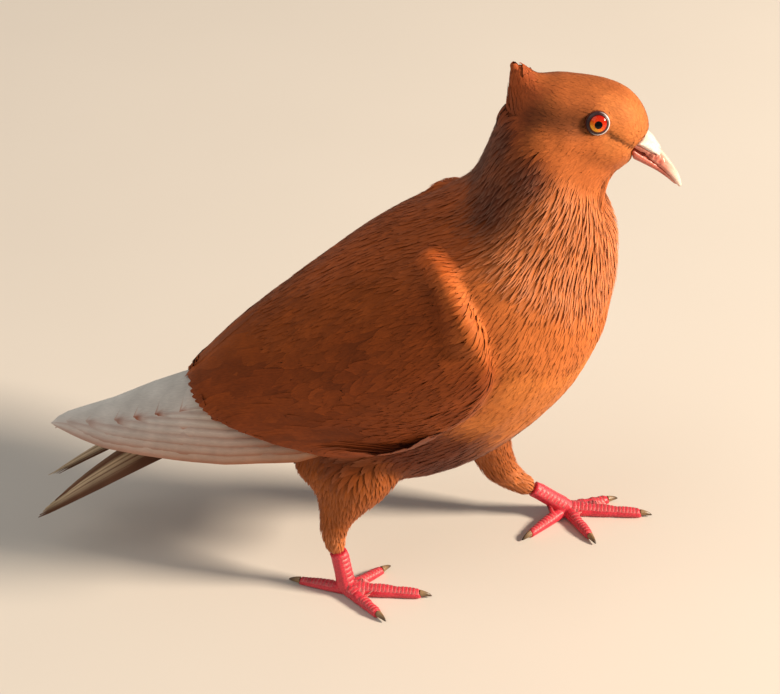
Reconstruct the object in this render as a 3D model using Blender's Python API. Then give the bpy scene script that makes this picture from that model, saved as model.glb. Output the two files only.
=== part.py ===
"""A red fancy pigeon with a small peaked crest, standing in mid step: the solids of a life-size model.

The bird faces +X, its right side is at -Y, and it stands on z = 0 at the end. Lengths in the tables
below are in millimetres; the finished solids are in metres. The body is one loft between a back line
and a front line, parted by thin cuts, and the wings are shells laid on it.
"""

import math

import bmesh
import bpy
from mathutils import Vector

MM = 0.001
GAP = 0.3  # left between pieces that touch
REACH = 90.0  # how far a cutter runs past the midline to each side
POINT_REACH = 0.6  # how far a pointed end runs on past its last ring, as a share of that ring's radius

# Body stations from the bill's root to the tail's root: the point on the back line (x, z), the point
# on the front line (x, z) and the half width.
BODY = (
    (68.4, 201.0, 62.8, 190.0, 4.6),
    (67.4, 206.4, 60.6, 188.8, 7.8),
    (64.6, 212.0, 58.6, 187.0, 11.0),
    (59.2, 217.2, 56.4, 184.8, 13.4),
    (50.8, 220.4, 54.8, 180.8, 15.0),
    (40.0, 221.6, 54.6, 174.6, 17.0),
    (28.4, 221.2, 57.0, 168.2, 19.8),
    (19.4, 213.4, 60.0, 160.8, 24.6),
    (14.0, 203.8, 60.8, 151.6, 28.6),
    (10.2, 193.4, 60.4, 142.4, 31.6),
    (6.6, 182.8, 59.4, 133.2, 34.8),
    (0.8, 173.4, 58.0, 122.8, 39.4),
    (-10.4, 165.8, 54.6, 111.0, 43.6),
    (-24.6, 157.6, 48.6, 97.0, 45.6),
    (-38.2, 148.2, 39.4, 83.2, 45.0),
    (-52.0, 136.4, 25.6, 67.0, 42.4),
    (-66.8, 122.6, 8.0, 53.0, 38.0),
    (-80.4, 108.4, -13.0, 44.4, 32.4),
    (-91.0, 93.8, -34.0, 48.6, 26.0),
    (-99.2, 80.6, -55.0, 58.6, 20.2),
    (-105.0, 71.6, -75.0, 63.6, 15.2),
    (-109.0, 66.0, -92.0, 63.2, 11.4),
)
RINGS_PER_SPAN = 2
BODY_SIDES = 22
BACK_HEAVY = 0.12  # how far the widest line sits towards the back, as a share of the half height
HEAD_CUT = 6.2  # station, counted with fractions, where the head ends
NECK_CUT = 11.2  # station where the neck ends

WING_THICK = 5.0  # how far a folded wing stands out from the flank
WING_RISE = 0.6  # how far it stands up from the shoulders
# Behind the shoulders the wing fills out over the rump: station, and how much further out it stands.
WING_SWELL = ((13.0, 0.0), (15.0, 0.8), (16.0, 1.8), (17.0, 3.2), (18.0, 5.0), (19.0, 7.4), (21.0, 8.2))
SWELL_ASIDE = 0.3  # how much of that swelling shows at the sides
# The folded wing's outline seen from the side, from the top of its leading ridge round by the bend of
# the wing, the lower edge and the ends of the inner flight feathers.
WING_OUTLINE = (
    (-10.0, 159.0),
    (-2.0, 155.5),
    (5.5, 148.0),
    (11.6, 139.0),
    (15.6, 128.0),
    (15.2, 116.0),
    (8.6, 102.5),
    (-4.0, 91.0),
    (-18.0, 82.4),
    (-36.0, 77.4),
    (-58.0, 75.6),
    (-77.0, 78.2),
    (-91.0, 81.8),
    (-102.0, 86.0),
    (-110.0, 91.0),
    (-101.0, 102.0),
    (-80.0, 124.0),
    (-54.0, 146.0),
    (-32.0, 156.0),
)

# The outer flight feathers of the right wing, closed to a blade: x, y and height of the inner edge,
# y and height of the outer edge, thickness. Behind the wing its inner edge crosses the midline.
BLADE = (
    (-70.0, -0.8, 93.0, -33.0, 68.0, 5.0),
    (-86.0, -0.8, 89.8, -31.0, 64.2, 4.6),
    (-104.0, 1.2, 86.4, -27.6, 62.4, 4.0),
    (-120.0, 4.2, 77.4, -23.4, 60.6, 3.2),
    (-138.0, 6.0, 66.8, -17.4, 58.4, 2.4),
    (-150.0, 6.0, 61.9, -12.0, 57.8, 1.7),
    (-158.6, 4.0, 59.2, -7.0, 57.6, 1.2),
    (-163.0, 0.4, 57.6, -3.4, 57.2, 0.8),
)
# The left blade is the right one's mirror image, tucked under it.
LEFT_BLADE_INNER_Y = -2.0  # its inner edge, measured as in BLADE
LEFT_BLADE_DROP = (1.5, 6.0)  # how far it lies below the right one at its root and at its tip
BLADE_SIDES = 12

# The tail: x and height of its middle line, half width, height at the middle and at the edge.
TAIL = (
    (-86.0, 69.0, 13.0, 14.0, 6.0),
    (-100.0, 62.4, 15.4, 12.5, 4.0),
    (-112.0, 55.4, 16.2, 9.0, 3.0),
    (-126.0, 46.4, 16.6, 6.0, 2.4),
    (-142.0, 36.0, 16.6, 4.2, 1.8),
    (-154.0, 28.4, 16.2, 3.0, 1.5),
    (-164.0, 21.8, 15.4, 2.2, 1.2),
    (-170.0, 18.0, 14.4, 1.6, 1.0),
)
TAIL_NOTCH = 5.0  # how far the middle of the tail's end stands behind its corners
TAIL_DROOP = 1.6  # how far the tail's edges hang below its middle
TAIL_COLUMNS = 8

EYE_RADIUS = 5.2
EYE_CENTRE = (48.8, 11.0, 209.8)
# The crest from its root to its tip: centre (x, z), radii along and across.
CREST = (
    (31.0, 208.0, 12.8, 11.6),
    (28.4, 214.6, 10.4, 8.6),
    (25.4, 219.6, 7.0, 5.4),
    (22.2, 223.4, 3.7, 2.9),
    (20.8, 226.0, 1.6, 1.4),
)
CREST_SIDES = 12

# The bill's lines seen from the side, from its root to its tip: the ridge, the gape and the keel.
RIDGE = ((61.4, 202.4), (67.4, 199.4), (71.8, 194.4), (76.4, 188.8), (79.6, 183.8), (80.8, 180.2))
GAPE = ((59.0, 199.2), (64.2, 195.4), (69.0, 191.2), (73.4, 187.4), (77.6, 183.2), (80.0, 180.0))
KEEL = ((57.8, 193.4), (63.0, 190.8), (67.8, 188.2), (72.2, 185.6), (76.0, 182.6), (78.0, 180.6))
BILL_HALF_WIDTH = (6.8, 5.8, 4.3, 3.1, 2.0, 0.9)
CERE_STANDS = 0.5  # how far the cere stands out over the horn
CERE_WIDTH = 1.12  # its width over the horn's
CERE_TAPER = 0.1  # how much it narrows towards its top
CERE_ENDS = 2.1  # station along the ridge where the cere gives way to horn
CERE_FOOT = ((58.8, 200.0), (64.4, 197.6), (69.4, 195.0), (74.6, 190.6))  # its lower edge, as RIDGE
CERE_SLANT = (0.62, -0.78)  # side-view direction the cere's front edge faces
# The notch in the face that the bill is set in: from over the cere back to the corner of the gape,
# forward to the chin, and closed well in front.
FACE_NOTCH = ((69.0, 201.8), (61.4, 198.6), (63.4, 189.0), (90.0, 165.0), (95.0, 215.0))

# Feathered legs: centre (x, y, z) and radii along and across, from inside the trunk to the shank.
RIGHT_THIGH = (
    (-36.0, -14.0, 82.0, 20.0, 9.0),
    (-40.0, -18.0, 66.0, 23.0, 12.0),
    (-39.6, -21.0, 53.6, 20.6, 12.4),
    (-41.6, -22.8, 43.6, 11.6, 9.4),
    (-44.8, -23.6, 33.4, 6.8, 6.6),
    (-45.4, -23.8, 24.6, 5.3, 5.1),
    (-43.8, -23.8, 17.3, 4.3, 4.1),
)
LEFT_THIGH = (
    (4.0, 17.0, 82.0, 17.0, 10.0),
    (9.0, 22.4, 57.0, 14.0, 12.0),
    (14.6, 26.8, 36.8, 9.8, 9.4),
    (19.2, 28.4, 24.2, 7.6, 7.4),
    (26.2, 29.2, 17.0, 5.8, 5.6),
    (33.4, 29.8, 12.4, 4.4, 4.2),
)
THIGH_SIDES = 14

# Feet: the floor's height below the tables' zero, where the toes meet, and for each toe its direction
# in plan in degrees, its length to the claw's root, and its root radius.
FLOOR = -2.7
RIGHT_FOOT_ROOT = (-40.2, -26.0)
LEFT_FOOT_ROOT = (48.2, 33.2)
RIGHT_TOES = (
    ("outer", -44.0, 19.5, 2.9),
    ("middle", 0.0, 30.0, 3.1),
    ("inner", 46.0, 19.0, 2.7),
    ("hind", 168.0, 20.5, 2.6),
)
LEFT_TOES = (
    ("outer", 26.0, 20.0, 2.9),
    ("middle", 1.0, 32.0, 3.1),
    ("inner", -58.0, 19.5, 2.8),
    ("hind", 229.0, 23.0, 2.7),
)
TOE_SINK = 0.82  # a toe's centre height over its radius, so that its pads are cut flat
TOE_TIP = 0.62  # radius at the claw over the radius at the root
PADS = {"outer": 4, "middle": 3, "inner": 2, "hind": 1}
PAD_SWELL = 0.07
SHANK_RADII = (3.6, 3.8)  # at the feathers and at the toes
SHANK_FLATNESS = 0.86  # its thickness from side to side over that from front to back
# The shank runs on straight from the feathers and then bends down to the toes: how far along it the
# two bends and the last straight lie, and how far each bend stands off the straight line.
SHANK_BENDS = ((0.0, 0.12), (0.5, 0.06), (0.82, 0.0))
TOE_SIDES = 8
CLAW_LENGTH = 5.8
CLAW_CLEAR = 1.0  # height of the middle of a claw's point over the floor
CLAW_STEPS = 5
CLAW_SIDES = 6
CLAW_SEAT = (0.35, 0.4)  # its root's height as a share of the toe's radius, and how far it is let in
CLAW_CURVE = 1.9  # the power by which it drops towards its point
CLAW_FORESHORTENING = 0.12  # how much of its length that bend takes up
CLAW_RADII = (1.73, 0.28)  # at the root and at the point
CLAW_TAPER = 0.75  # the power by which it thins between them
CLAW_FLATNESS = 0.85

COLOURS = {
    "feather_red": (0.235, 0.060, 0.022, 0.62),
    "feather_pale": (0.600, 0.500, 0.400, 0.60),
    "tail_brown": (0.200, 0.085, 0.045, 0.62),
    "bill_horn": (0.620, 0.330, 0.260, 0.35),
    "cere_white": (0.820, 0.760, 0.720, 0.55),
    "eye_orange": (0.620, 0.090, 0.012, 0.08),
    "foot_red": (0.420, 0.028, 0.050, 0.45),
    "claw_horn": (0.230, 0.160, 0.080, 0.40),
}


def clear_scene():
    for obj in list(bpy.data.objects):
        bpy.data.objects.remove(obj, do_unlink=True)


def material(name):
    found = bpy.data.materials.get(name)
    if found:
        return found
    made = bpy.data.materials.new(name)
    made.use_nodes = True
    shader = made.node_tree.nodes["Principled BSDF"]
    red, green, blue, roughness = COLOURS[name]
    shader.inputs["Base Color"].default_value = (red, green, blue, 1.0)
    shader.inputs["Roughness"].default_value = roughness
    shader.inputs["Metallic"].default_value = 0.0
    return made


def smooth_through(rows, position):
    """The row at a fractional position, on a smooth curve through all the rows."""
    last = len(rows) - 1
    first = min(int(position), last - 1)
    t = position - first
    before = rows[max(first - 1, 0)]
    here = rows[first]
    there = rows[first + 1]
    after = rows[min(first + 2, last)]
    return tuple(
        0.5 * (2 * b + (c - a) * t + (2 * a - 5 * b + 4 * c - d) * t * t + (3 * b - a - 3 * c + d) * t**3)
        for a, b, c, d in zip(before, here, there, after)
    )


def mesh_object(name, points, faces):
    """A mesh object from points in millimetres, with its faces turned outwards."""
    mesh = bpy.data.meshes.new(name)
    mesh.from_pydata([tuple(value * MM for value in point) for point in points], [], faces)
    shape = bmesh.new()
    shape.from_mesh(mesh)
    bmesh.ops.recalc_face_normals(shape, faces=shape.faces)
    shape.to_mesh(mesh)
    shape.free()
    obj = bpy.data.objects.new(name, mesh)
    bpy.context.scene.collection.objects.link(obj)
    return obj


def skin_rings(name, rings, pointed=(False, False)):
    """A closed solid through rings of points; an end is a flat fan or runs out to a point."""
    points = [point for ring in rings for point in ring]
    sides = len(rings[0])
    faces = []
    for ring in range(len(rings) - 1):
        for side in range(sides):
            here = ring * sides + side
            there = ring * sides + (side + 1) % sides
            faces.append((here, there, there + sides))
            faces.append((here, there + sides, here + sides))
    for end, ring in ((0, 0), (1, len(rings) - 1)):
        centre = Vector([sum(axis) / sides for axis in zip(*rings[ring])])
        if pointed[end]:
            inner = Vector([sum(axis) / sides for axis in zip(*rings[1 if end == 0 else ring - 1])])
            radius = max((Vector(point) - centre).length for point in rings[ring])
            centre = centre + (centre - inner).normalized() * radius * POINT_REACH
        points.append(tuple(centre))
        for side in range(sides):
            faces.append((len(points) - 1, ring * sides + side, ring * sides + (side + 1) % sides))
    return mesh_object(name, points, faces)


def body_ring(station, grow, side_grow):
    back_x, back_z, front_x, front_z, half_width = station
    back = Vector((back_x, 0.0, back_z))
    front = Vector((front_x, 0.0, front_z))
    axis = (back - front).normalized()
    centre = (back + front) / 2
    half_height = (back - front).length / 2 + grow
    ring = []
    for side in range(BODY_SIDES):
        angle = 2 * math.pi * side / BODY_SIDES
        along = math.cos(angle) + BACK_HEAVY * math.sin(angle) ** 2
        point = centre + axis * (half_height * along)
        width = half_width + min(grow, side_grow) + max(side_grow - grow, 0.0) * math.sin(angle) ** 2
        ring.append((point.x, width * math.sin(angle), point.z))
    return ring


def swell_at(position):
    """The wing's extra thickness at a station, by straight steps through its table."""
    for (low, low_swell), (high, high_swell) in zip(WING_SWELL, WING_SWELL[1:]):
        if low <= position <= high:
            return low_swell + (high_swell - low_swell) * (position - low) / (high - low)
    return 0.0


def body_loft(name, grow=0.0, side_grow=0.0, swelling=False):
    spans = len(BODY) - 1
    rings = []
    for step in range(spans * RINGS_PER_SPAN + 1):
        position = step / RINGS_PER_SPAN
        extra = swell_at(position) if swelling else 0.0
        station = smooth_through(BODY, position)
        rings.append(body_ring(station, grow + extra, side_grow + extra * SWELL_ASIDE))
    return skin_rings(name, rings, pointed=(True, True))


def prism(name, outline, y_from, y_to, grow=0.0):
    """A side-view outline (x, z) carried from one y to another; grow moves its edge outwards."""
    count = len(outline)
    middle = Vector([sum(axis) / count for axis in zip(*outline)])
    moved = []
    for index in range(count):
        before = Vector(outline[index - 1])
        after = Vector(outline[(index + 1) % count])
        along = (after - before).normalized()
        normal = Vector((along.y, -along.x))
        if normal.dot(Vector(outline[index]) - middle) < 0:
            normal = -normal
        moved.append(Vector(outline[index]) + normal * grow)
    rings = [[(point.x, y, point.y) for point in moved] for y in (y_from, y_to)]
    points = rings[0] + rings[1]
    faces = [tuple(range(count)), tuple(range(count, 2 * count))]
    for index in range(count):
        after = (index + 1) % count
        faces.append((index, after, after + count, index + count))
    return mesh_object(name, points, faces)


def smooth_outline(outline, steps=2):
    closed = outline[-1:] + outline + outline[:2]
    count = len(outline)
    return tuple(smooth_through(closed, 1 + step / steps) for step in range(count * steps))


def boolean(target, tool, operation):
    """Applies one Boolean to the target and removes the tool."""
    step = target.modifiers.new("cut", "BOOLEAN")
    step.operation = operation
    step.solver = "EXACT"
    step.object = tool
    graph = bpy.context.evaluated_depsgraph_get()
    result = bpy.data.meshes.new_from_object(target.evaluated_get(graph))
    target.modifiers.clear()
    old = target.data
    target.data = result
    bpy.data.meshes.remove(old)
    bpy.data.objects.remove(tool, do_unlink=True)
    return target


def keep_side(obj, point, normal):
    """Cuts off what lies on the side of a plane that its normal points to, and closes the cut."""
    shape = bmesh.new()
    shape.from_mesh(obj.data)
    everything = shape.verts[:] + shape.edges[:] + shape.faces[:]
    cut = bmesh.ops.bisect_plane(
        shape,
        geom=everything,
        dist=1e-7,
        plane_co=Vector(point) * MM,
        plane_no=Vector(normal),
        clear_outer=True,
    )
    rim = [item for item in cut["geom_cut"] if isinstance(item, bmesh.types.BMEdge)]
    bmesh.ops.edgenet_fill(shape, edges=rim)
    bmesh.ops.recalc_face_normals(shape, faces=shape.faces)
    shape.to_mesh(obj.data)
    shape.free()
    return obj


def finish(obj, name, finish_name):
    """Names a solid, gives it its material and smooth shading, and clears crumbs left by cuts."""
    shape = bmesh.new()
    shape.from_mesh(obj.data)
    bmesh.ops.remove_doubles(shape, verts=shape.verts, dist=2e-5)
    bmesh.ops.dissolve_degenerate(shape, edges=shape.edges, dist=1e-5)
    shape.to_mesh(obj.data)
    shape.free()
    obj.name = name
    obj.data.name = name
    obj.data.materials.clear()
    obj.data.materials.append(material(finish_name))
    obj.data.shade_smooth()
    obj.data.set_sharp_from_angle(angle=math.radians(40))
    return obj


def station_plane(position):
    """A point and a normal (pointing to the tail) of the body's section at a station."""
    station = smooth_through(BODY, position)
    back = Vector((station[0], 0.0, station[1]))
    front = Vector((station[2], 0.0, station[3]))
    axis = (back - front).normalized()
    normal = Vector((-axis.z, 0.0, axis.x))
    return (back + front) / 2, normal


def wing_block(name, side, grow=0.0):
    """The space one wing fills: the body grown by the wing's thickness, inside the wing's outline."""
    block = body_loft(name, WING_RISE + grow, WING_THICK + grow, swelling=True)
    near, far = (-GAP / 2 + grow, -REACH) if side < 0 else (GAP / 2 - grow, REACH)
    outline = prism("outline", smooth_outline(WING_OUTLINE), near, far, grow)
    return boolean(block, outline, "INTERSECT")


def make_body():
    head_point, head_normal = station_plane(HEAD_CUT)
    neck_point, neck_normal = station_plane(NECK_CUT)
    half_gap = GAP / 2

    head = keep_side(body_loft("head"), head_point - head_normal * half_gap, head_normal)
    neck = keep_side(body_loft("neck"), head_point + head_normal * half_gap, -head_normal)
    neck = keep_side(neck, neck_point - neck_normal * half_gap, neck_normal)
    trunk = keep_side(body_loft("trunk"), neck_point + neck_normal * half_gap, -neck_normal)

    for side in (-1, 1):
        socket = ball("socket", EYE_CENTRE, EYE_RADIUS + GAP, side)
        head = boolean(head, socket, "DIFFERENCE")
    head = boolean(head, prism("notch", FACE_NOTCH, -REACH, REACH), "DIFFERENCE")
    finish(head, "head", "feather_red")
    finish(neck, "neck", "feather_red")
    finish(trunk, "trunk", "feather_red")


def ball(name, centre, radius, side, segments=12, rings=7):
    shape = bmesh.new()
    bmesh.ops.create_uvsphere(shape, u_segments=segments, v_segments=rings, radius=radius * MM)
    mesh = bpy.data.meshes.new(name)
    shape.to_mesh(mesh)
    shape.free()
    obj = bpy.data.objects.new(name, mesh)
    bpy.context.scene.collection.objects.link(obj)
    place = Vector((centre[0], centre[1] * side, centre[2])) * MM
    for vertex in mesh.vertices:
        vertex.co = Vector((vertex.co.x, vertex.co.z, vertex.co.y)) + place
    mesh.flip_normals()
    return obj


def make_eyes():
    for side, name in ((-1, "right_eye"), (1, "left_eye")):
        finish(ball(name, EYE_CENTRE, EYE_RADIUS, side), name, "eye_orange")


def oval_ring(centre, along, across, radius_along, radius_across, sides):
    ring = []
    for side in range(sides):
        angle = 2 * math.pi * side / sides
        offset = along * (radius_along * math.cos(angle)) + across * (radius_across * math.sin(angle))
        ring.append(tuple(centre + offset))
    return ring


def bill_piece(name, upper, lower, width_share, taper, sides=12):
    """A part of the bill between two side lines; taper narrows it towards the upper line."""
    rings = []
    for step in range(2 * len(upper) - 1):
        top = Vector(smooth_through(upper, step / 2))
        bottom = Vector(smooth_through(lower, step / 2))
        half_width = smooth_through([(w,) for w in BILL_HALF_WIDTH], step / 2)[0] * width_share
        centre = (top + bottom) / 2
        axis = (top - bottom) / 2
        ring = []
        for side in range(sides):
            angle = 2 * math.pi * side / sides
            place = centre + axis * math.cos(angle)
            ring.append((place.x, half_width * math.sin(angle) * (1 - taper * math.cos(angle)), place.y))
        rings.append(ring)
    return skin_rings(name, rings, pointed=(False, True))


def shift_line(line, other, distance):
    """The line moved by a distance towards the other line, point by point."""
    moved = []
    for here, there in zip(line, other):
        step = (Vector(there) - Vector(here)).normalized() * distance
        moved.append(tuple(Vector(here) + step))
    return tuple(moved)


def make_bill():
    grown_head = body_loft("grown_head", GAP, GAP)
    grown_head = boolean(grown_head, prism("notch", FACE_NOTCH, -REACH, REACH, -GAP), "DIFFERENCE")
    upper = bill_piece("upper_bill", RIDGE, shift_line(GAPE, RIDGE, GAP / 2), 1.0, 0.2)
    lower = bill_piece("lower_bill", shift_line(GAPE, KEEL, GAP / 2), KEEL, 0.92, -0.2)
    cere_top = tuple((x + CERE_STANDS, z + CERE_STANDS) for x, z in RIDGE[: len(CERE_FOOT)])
    cere = bill_piece("cere", cere_top, CERE_FOOT, CERE_WIDTH, CERE_TAPER)
    cere_space = bill_piece("cere_space", cere_top, CERE_FOOT, CERE_WIDTH, CERE_TAPER)
    cere_space = grow_mesh(cere_space, GAP)
    end_x, end_z = smooth_through(RIDGE, CERE_ENDS)
    end = Vector((end_x, 0.0, end_z))
    slant = Vector((CERE_SLANT[0], 0.0, CERE_SLANT[1])).normalized()
    cere = keep_side(cere, end, slant)
    cere_space = keep_side(cere_space, end + slant * GAP, slant)
    upper = boolean(upper, cere_space, "DIFFERENCE")
    for piece, finish_name in ((upper, "bill_horn"), (lower, "bill_horn"), (cere, "cere_white")):
        tool = grown_head.copy()
        tool.data = grown_head.data.copy()
        bpy.context.scene.collection.objects.link(tool)
        boolean(piece, tool, "DIFFERENCE")
        finish(piece, piece.name, finish_name)
    bpy.data.objects.remove(grown_head, do_unlink=True)


def grow_mesh(obj, distance):
    """Moves every point of a closed shape outwards along its normal."""
    shape = bmesh.new()
    shape.from_mesh(obj.data)
    shape.normal_update()
    moves = [(vertex, vertex.normal * distance * MM) for vertex in shape.verts]
    for vertex, move in moves:
        vertex.co += move
    shape.to_mesh(obj.data)
    shape.free()
    return obj


def make_crest():
    """The peak: feathers of the nape drawn up to a low point behind the crown."""
    along = Vector((1.0, 0.0, 0.0))
    across = Vector((0.0, 1.0, 0.0))
    rings = []
    for x, z, length, width in smooth_rows(CREST, 2):
        rings.append(oval_ring(Vector((x, 0.0, z)), along, across, length, width, CREST_SIDES))
    crest = skin_rings("crest", rings, pointed=(False, True))
    crest = boolean(crest, body_loft("grown_head", GAP, GAP), "DIFFERENCE")
    finish(crest, "crest", "feather_red")


def make_wings():
    for side, name in ((-1, "right_wing"), (1, "left_wing")):
        wing = boolean(wing_block(name, side), body_loft("body", GAP, GAP), "DIFFERENCE")
        finish(wing, name, "feather_red")


def left_blade():
    rows = []
    root_x, tip_x = BLADE[0][0], BLADE[-1][0]
    root_drop, tip_drop = LEFT_BLADE_DROP
    for x, inner_y, inner_z, outer_y, outer_z, thickness in BLADE:
        drop = root_drop + (tip_drop - root_drop) * (root_x - x) / (root_x - tip_x)
        inner_y = min(inner_y, LEFT_BLADE_INNER_Y)
        rows.append((x, inner_y, inner_z - drop, outer_y, outer_z - drop, thickness))
    return tuple(rows)


def blade_ring(row, side):
    x, inner_y, inner_z, outer_y, outer_z, thickness = row
    inner = Vector((x, inner_y * -side, inner_z))
    outer = Vector((x, outer_y * -side, outer_z))
    centre = (inner + outer) / 2
    half = (outer - inner) / 2
    normal = Vector((0.0, -half.z, half.y)).normalized()
    ring = []
    for step in range(BLADE_SIDES):
        angle = 2 * math.pi * step / BLADE_SIDES
        ring.append(tuple(centre + half * math.cos(angle) + normal * (thickness / 2 * math.sin(angle))))
    return ring


def make_blades():
    for side, name, rows in ((-1, "right_primaries", BLADE), (1, "left_primaries", left_blade())):
        rings = [blade_ring(row, side) for row in smooth_rows(rows, 2)]
        blade = skin_rings(name, rings, pointed=(False, True))
        for wing_side in (-1, 1):
            blade = boolean(blade, wing_block("wing_space", wing_side, GAP), "DIFFERENCE")
        blade = boolean(blade, body_loft("body", GAP, GAP), "DIFFERENCE")
        finish(blade, name, "feather_pale")


def make_tail():
    rings = []
    last = len(TAIL) - 1
    for step in range(2 * last + 1):
        x, z, half_width, middle, edge = smooth_through(TAIL, step / 2)
        notch = TAIL_NOTCH * max(0.0, step / 2 - (last - 1))
        top = []
        bottom = []
        for column in range(TAIL_COLUMNS + 1):
            across = 2 * column / TAIL_COLUMNS - 1
            height = edge + (middle - edge) * (1 - across * across)
            centre_z = z - TAIL_DROOP * across * across
            place_x = x + notch * (1 - abs(across))
            top.append((place_x, half_width * across, centre_z + height / 2))
            bottom.append((place_x, half_width * across, centre_z - height / 2))
        rings.append(top + bottom[::-1])
    tail = skin_rings("tail", rings)
    tail = boolean(tail, body_loft("body", GAP, GAP), "DIFFERENCE")
    finish(tail, "tail", "tail_brown")


def tube_rings(rows, sides):
    """Rings round a path of rows (x, y, z, radius along, radius across), square to the path."""
    rings = []
    for index, row in enumerate(rows):
        before = Vector(rows[max(index - 1, 0)][:3])
        after = Vector(rows[min(index + 1, len(rows) - 1)][:3])
        direction = (after - before).normalized()
        across = Vector((0.0, 1.0, 0.0))
        across = (across - direction * across.dot(direction)).normalized()
        along = across.cross(direction)
        rings.append(oval_ring(Vector(row[:3]), along, across, row[3], row[4], sides))
    return rings


def smooth_rows(rows, steps):
    return [smooth_through(rows, step / steps) for step in range((len(rows) - 1) * steps + 1)]


def make_thighs():
    for rows, name in ((RIGHT_THIGH, "right_thigh"), (LEFT_THIGH, "left_thigh")):
        thigh = skin_rings(name, tube_rings(smooth_rows(rows, 2), THIGH_SIDES))
        thigh = boolean(thigh, body_loft("body", GAP, GAP), "DIFFERENCE")
        finish(thigh, name, "feather_red")


def toe_rows(root, bearing, length, radius, pads):
    """A toe's path and radii on the ground: its pads swell between the joints."""
    turn = math.radians(bearing)
    steps = 2 * pads + 3
    rows = []
    for step in range(steps + 1):
        share = step / steps
        swell = 1 + PAD_SWELL * math.cos(2 * math.pi * (pads * share + 0.5))
        size = radius * (1 + (TOE_TIP - 1) * share) * swell
        rows.append(
            (
                root[0] + math.cos(turn) * length * share,
                root[1] + math.sin(turn) * length * share,
                FLOOR + size * TOE_SINK,
                size,
                size,
            )
        )
    return rows


def tube(name, rows, sides, pointed=(False, False)):
    """A round tube on any path, by frames turned from ring to ring."""
    rings = []
    across = None
    for index, row in enumerate(rows):
        before = Vector(rows[max(index - 1, 0)][:3])
        after = Vector(rows[min(index + 1, len(rows) - 1)][:3])
        direction = (after - before).normalized()
        if across is None:
            across = direction.cross(Vector((0.0, 0.0, 1.0)))
            if across.length < 0.1:
                across = Vector((0.0, 1.0, 0.0))
        across = (across - direction * across.dot(direction)).normalized()
        up = across.cross(direction)
        rings.append(oval_ring(Vector(row[:3]), up, across, row[3], row[4], sides))
    return skin_rings(name, rings, pointed)


def shank_rows(root, thigh):
    """The bare shank's path and radii, from square against the feathers down to where the toes meet."""
    feathered = smooth_rows(thigh, 2)
    end = Vector(feathered[-1][:3])
    direction = (end - Vector(feathered[-2][:3])).normalized()
    start = end + direction * GAP
    ground = Vector((root[0], root[1], FLOOR + SHANK_RADII[1] * TOE_SINK))
    reach = (ground - start).length
    upper, middle, lower = (start.lerp(ground, share) + direction * off * reach for share, off in SHANK_BENDS)
    top, foot = SHANK_RADII
    places = ((start, top), (upper, top), (middle, top), (lower, foot), (ground, foot))
    return [tuple(place) + (radius, radius * SHANK_FLATNESS) for place, radius in places]


def make_foot(name, root, toes, thigh):
    """Shank, palm and four toes joined to one solid with flat soles, and its four claws."""
    foot = tube(name, shank_rows(root, thigh), TOE_SIDES, (False, True))
    for toe, bearing, length, radius in toes:
        rows = toe_rows(root, bearing, length, radius, PADS[toe])
        foot = boolean(foot, tube(toe, rows, TOE_SIDES, (True, True)), "UNION")
    foot = keep_side(foot, (0.0, 0.0, FLOOR), (0.0, 0.0, -1.0))
    side_name = name.split("_")[0]
    for toe, bearing, length, radius in toes:
        rows = toe_rows(root, bearing, length, radius, PADS[toe])
        claw = make_claw(f"{side_name}_{toe}_claw", rows[-1], bearing, radius * TOE_TIP)
        space = make_claw("claw_space", rows[-1], bearing, radius * TOE_TIP)
        foot = boolean(foot, grow_mesh(space, GAP), "DIFFERENCE")
        finish(claw, claw.name, "claw_horn")
    finish(foot, name, "foot_red")


def make_claw(name, tip_row, bearing, toe_radius):
    """A claw bent down from the top of a toe's end, its point just clear of the ground."""
    turn = math.radians(bearing)
    forward = Vector((math.cos(turn), math.sin(turn), 0.0))
    height, let_in = CLAW_SEAT
    root_radius, point_radius = CLAW_RADII
    start = Vector(tip_row[:3]) + Vector((0.0, 0.0, height * toe_radius)) - forward * let_in
    rows = []
    for step in range(CLAW_STEPS + 1):
        share = step / CLAW_STEPS
        drop = (start.z - FLOOR - CLAW_CLEAR) * share**CLAW_CURVE
        place = start + forward * (CLAW_LENGTH * (share - CLAW_FORESHORTENING * share * share))
        size = (root_radius - point_radius) * (1 - share) ** CLAW_TAPER + point_radius
        rows.append((place.x, place.y, start.z - drop, size, size * CLAW_FLATNESS))
    return tube(name, rows, CLAW_SIDES, (False, True))


def make_feet():
    make_foot("right_foot", RIGHT_FOOT_ROOT, RIGHT_TOES, RIGHT_THIGH)
    make_foot("left_foot", LEFT_FOOT_ROOT, LEFT_TOES, LEFT_THIGH)


def centre_on_floor():
    """Moves everything so that the origin is at the middle of the underside of the whole bird's box."""
    solids = [obj for obj in bpy.context.scene.objects if obj.type == "MESH"]
    corners = [vertex.co for obj in solids for vertex in obj.data.vertices]
    low = Vector([min(axis) for axis in zip(*corners)])
    high = Vector([max(axis) for axis in zip(*corners)])
    move = Vector(((low.x + high.x) / 2, (low.y + high.y) / 2, low.z))
    for obj in solids:
        for vertex in obj.data.vertices:
            vertex.co -= move


def build():
    clear_scene()
    make_body()
    make_eyes()
    make_bill()
    make_crest()
    make_wings()
    make_blades()
    make_tail()
    make_thighs()
    make_feet()
    centre_on_floor()


build()
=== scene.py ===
"""A red fancy pigeon with a peaked crest, life size and in mid step: skin, plumage, eyes, bill and feet.

The lengths in the tables are millimetres in the bird's own axes: x towards the bill, y towards its left
side, z up. ZERO is where the tables' zero stands in the frame, found from the eye.
"""

import math

import bmesh
import bpy
import numpy as np
from mathutils import Matrix, Vector
from mathutils.bvhtree import BVHTree
from mathutils.kdtree import KDTree


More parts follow.
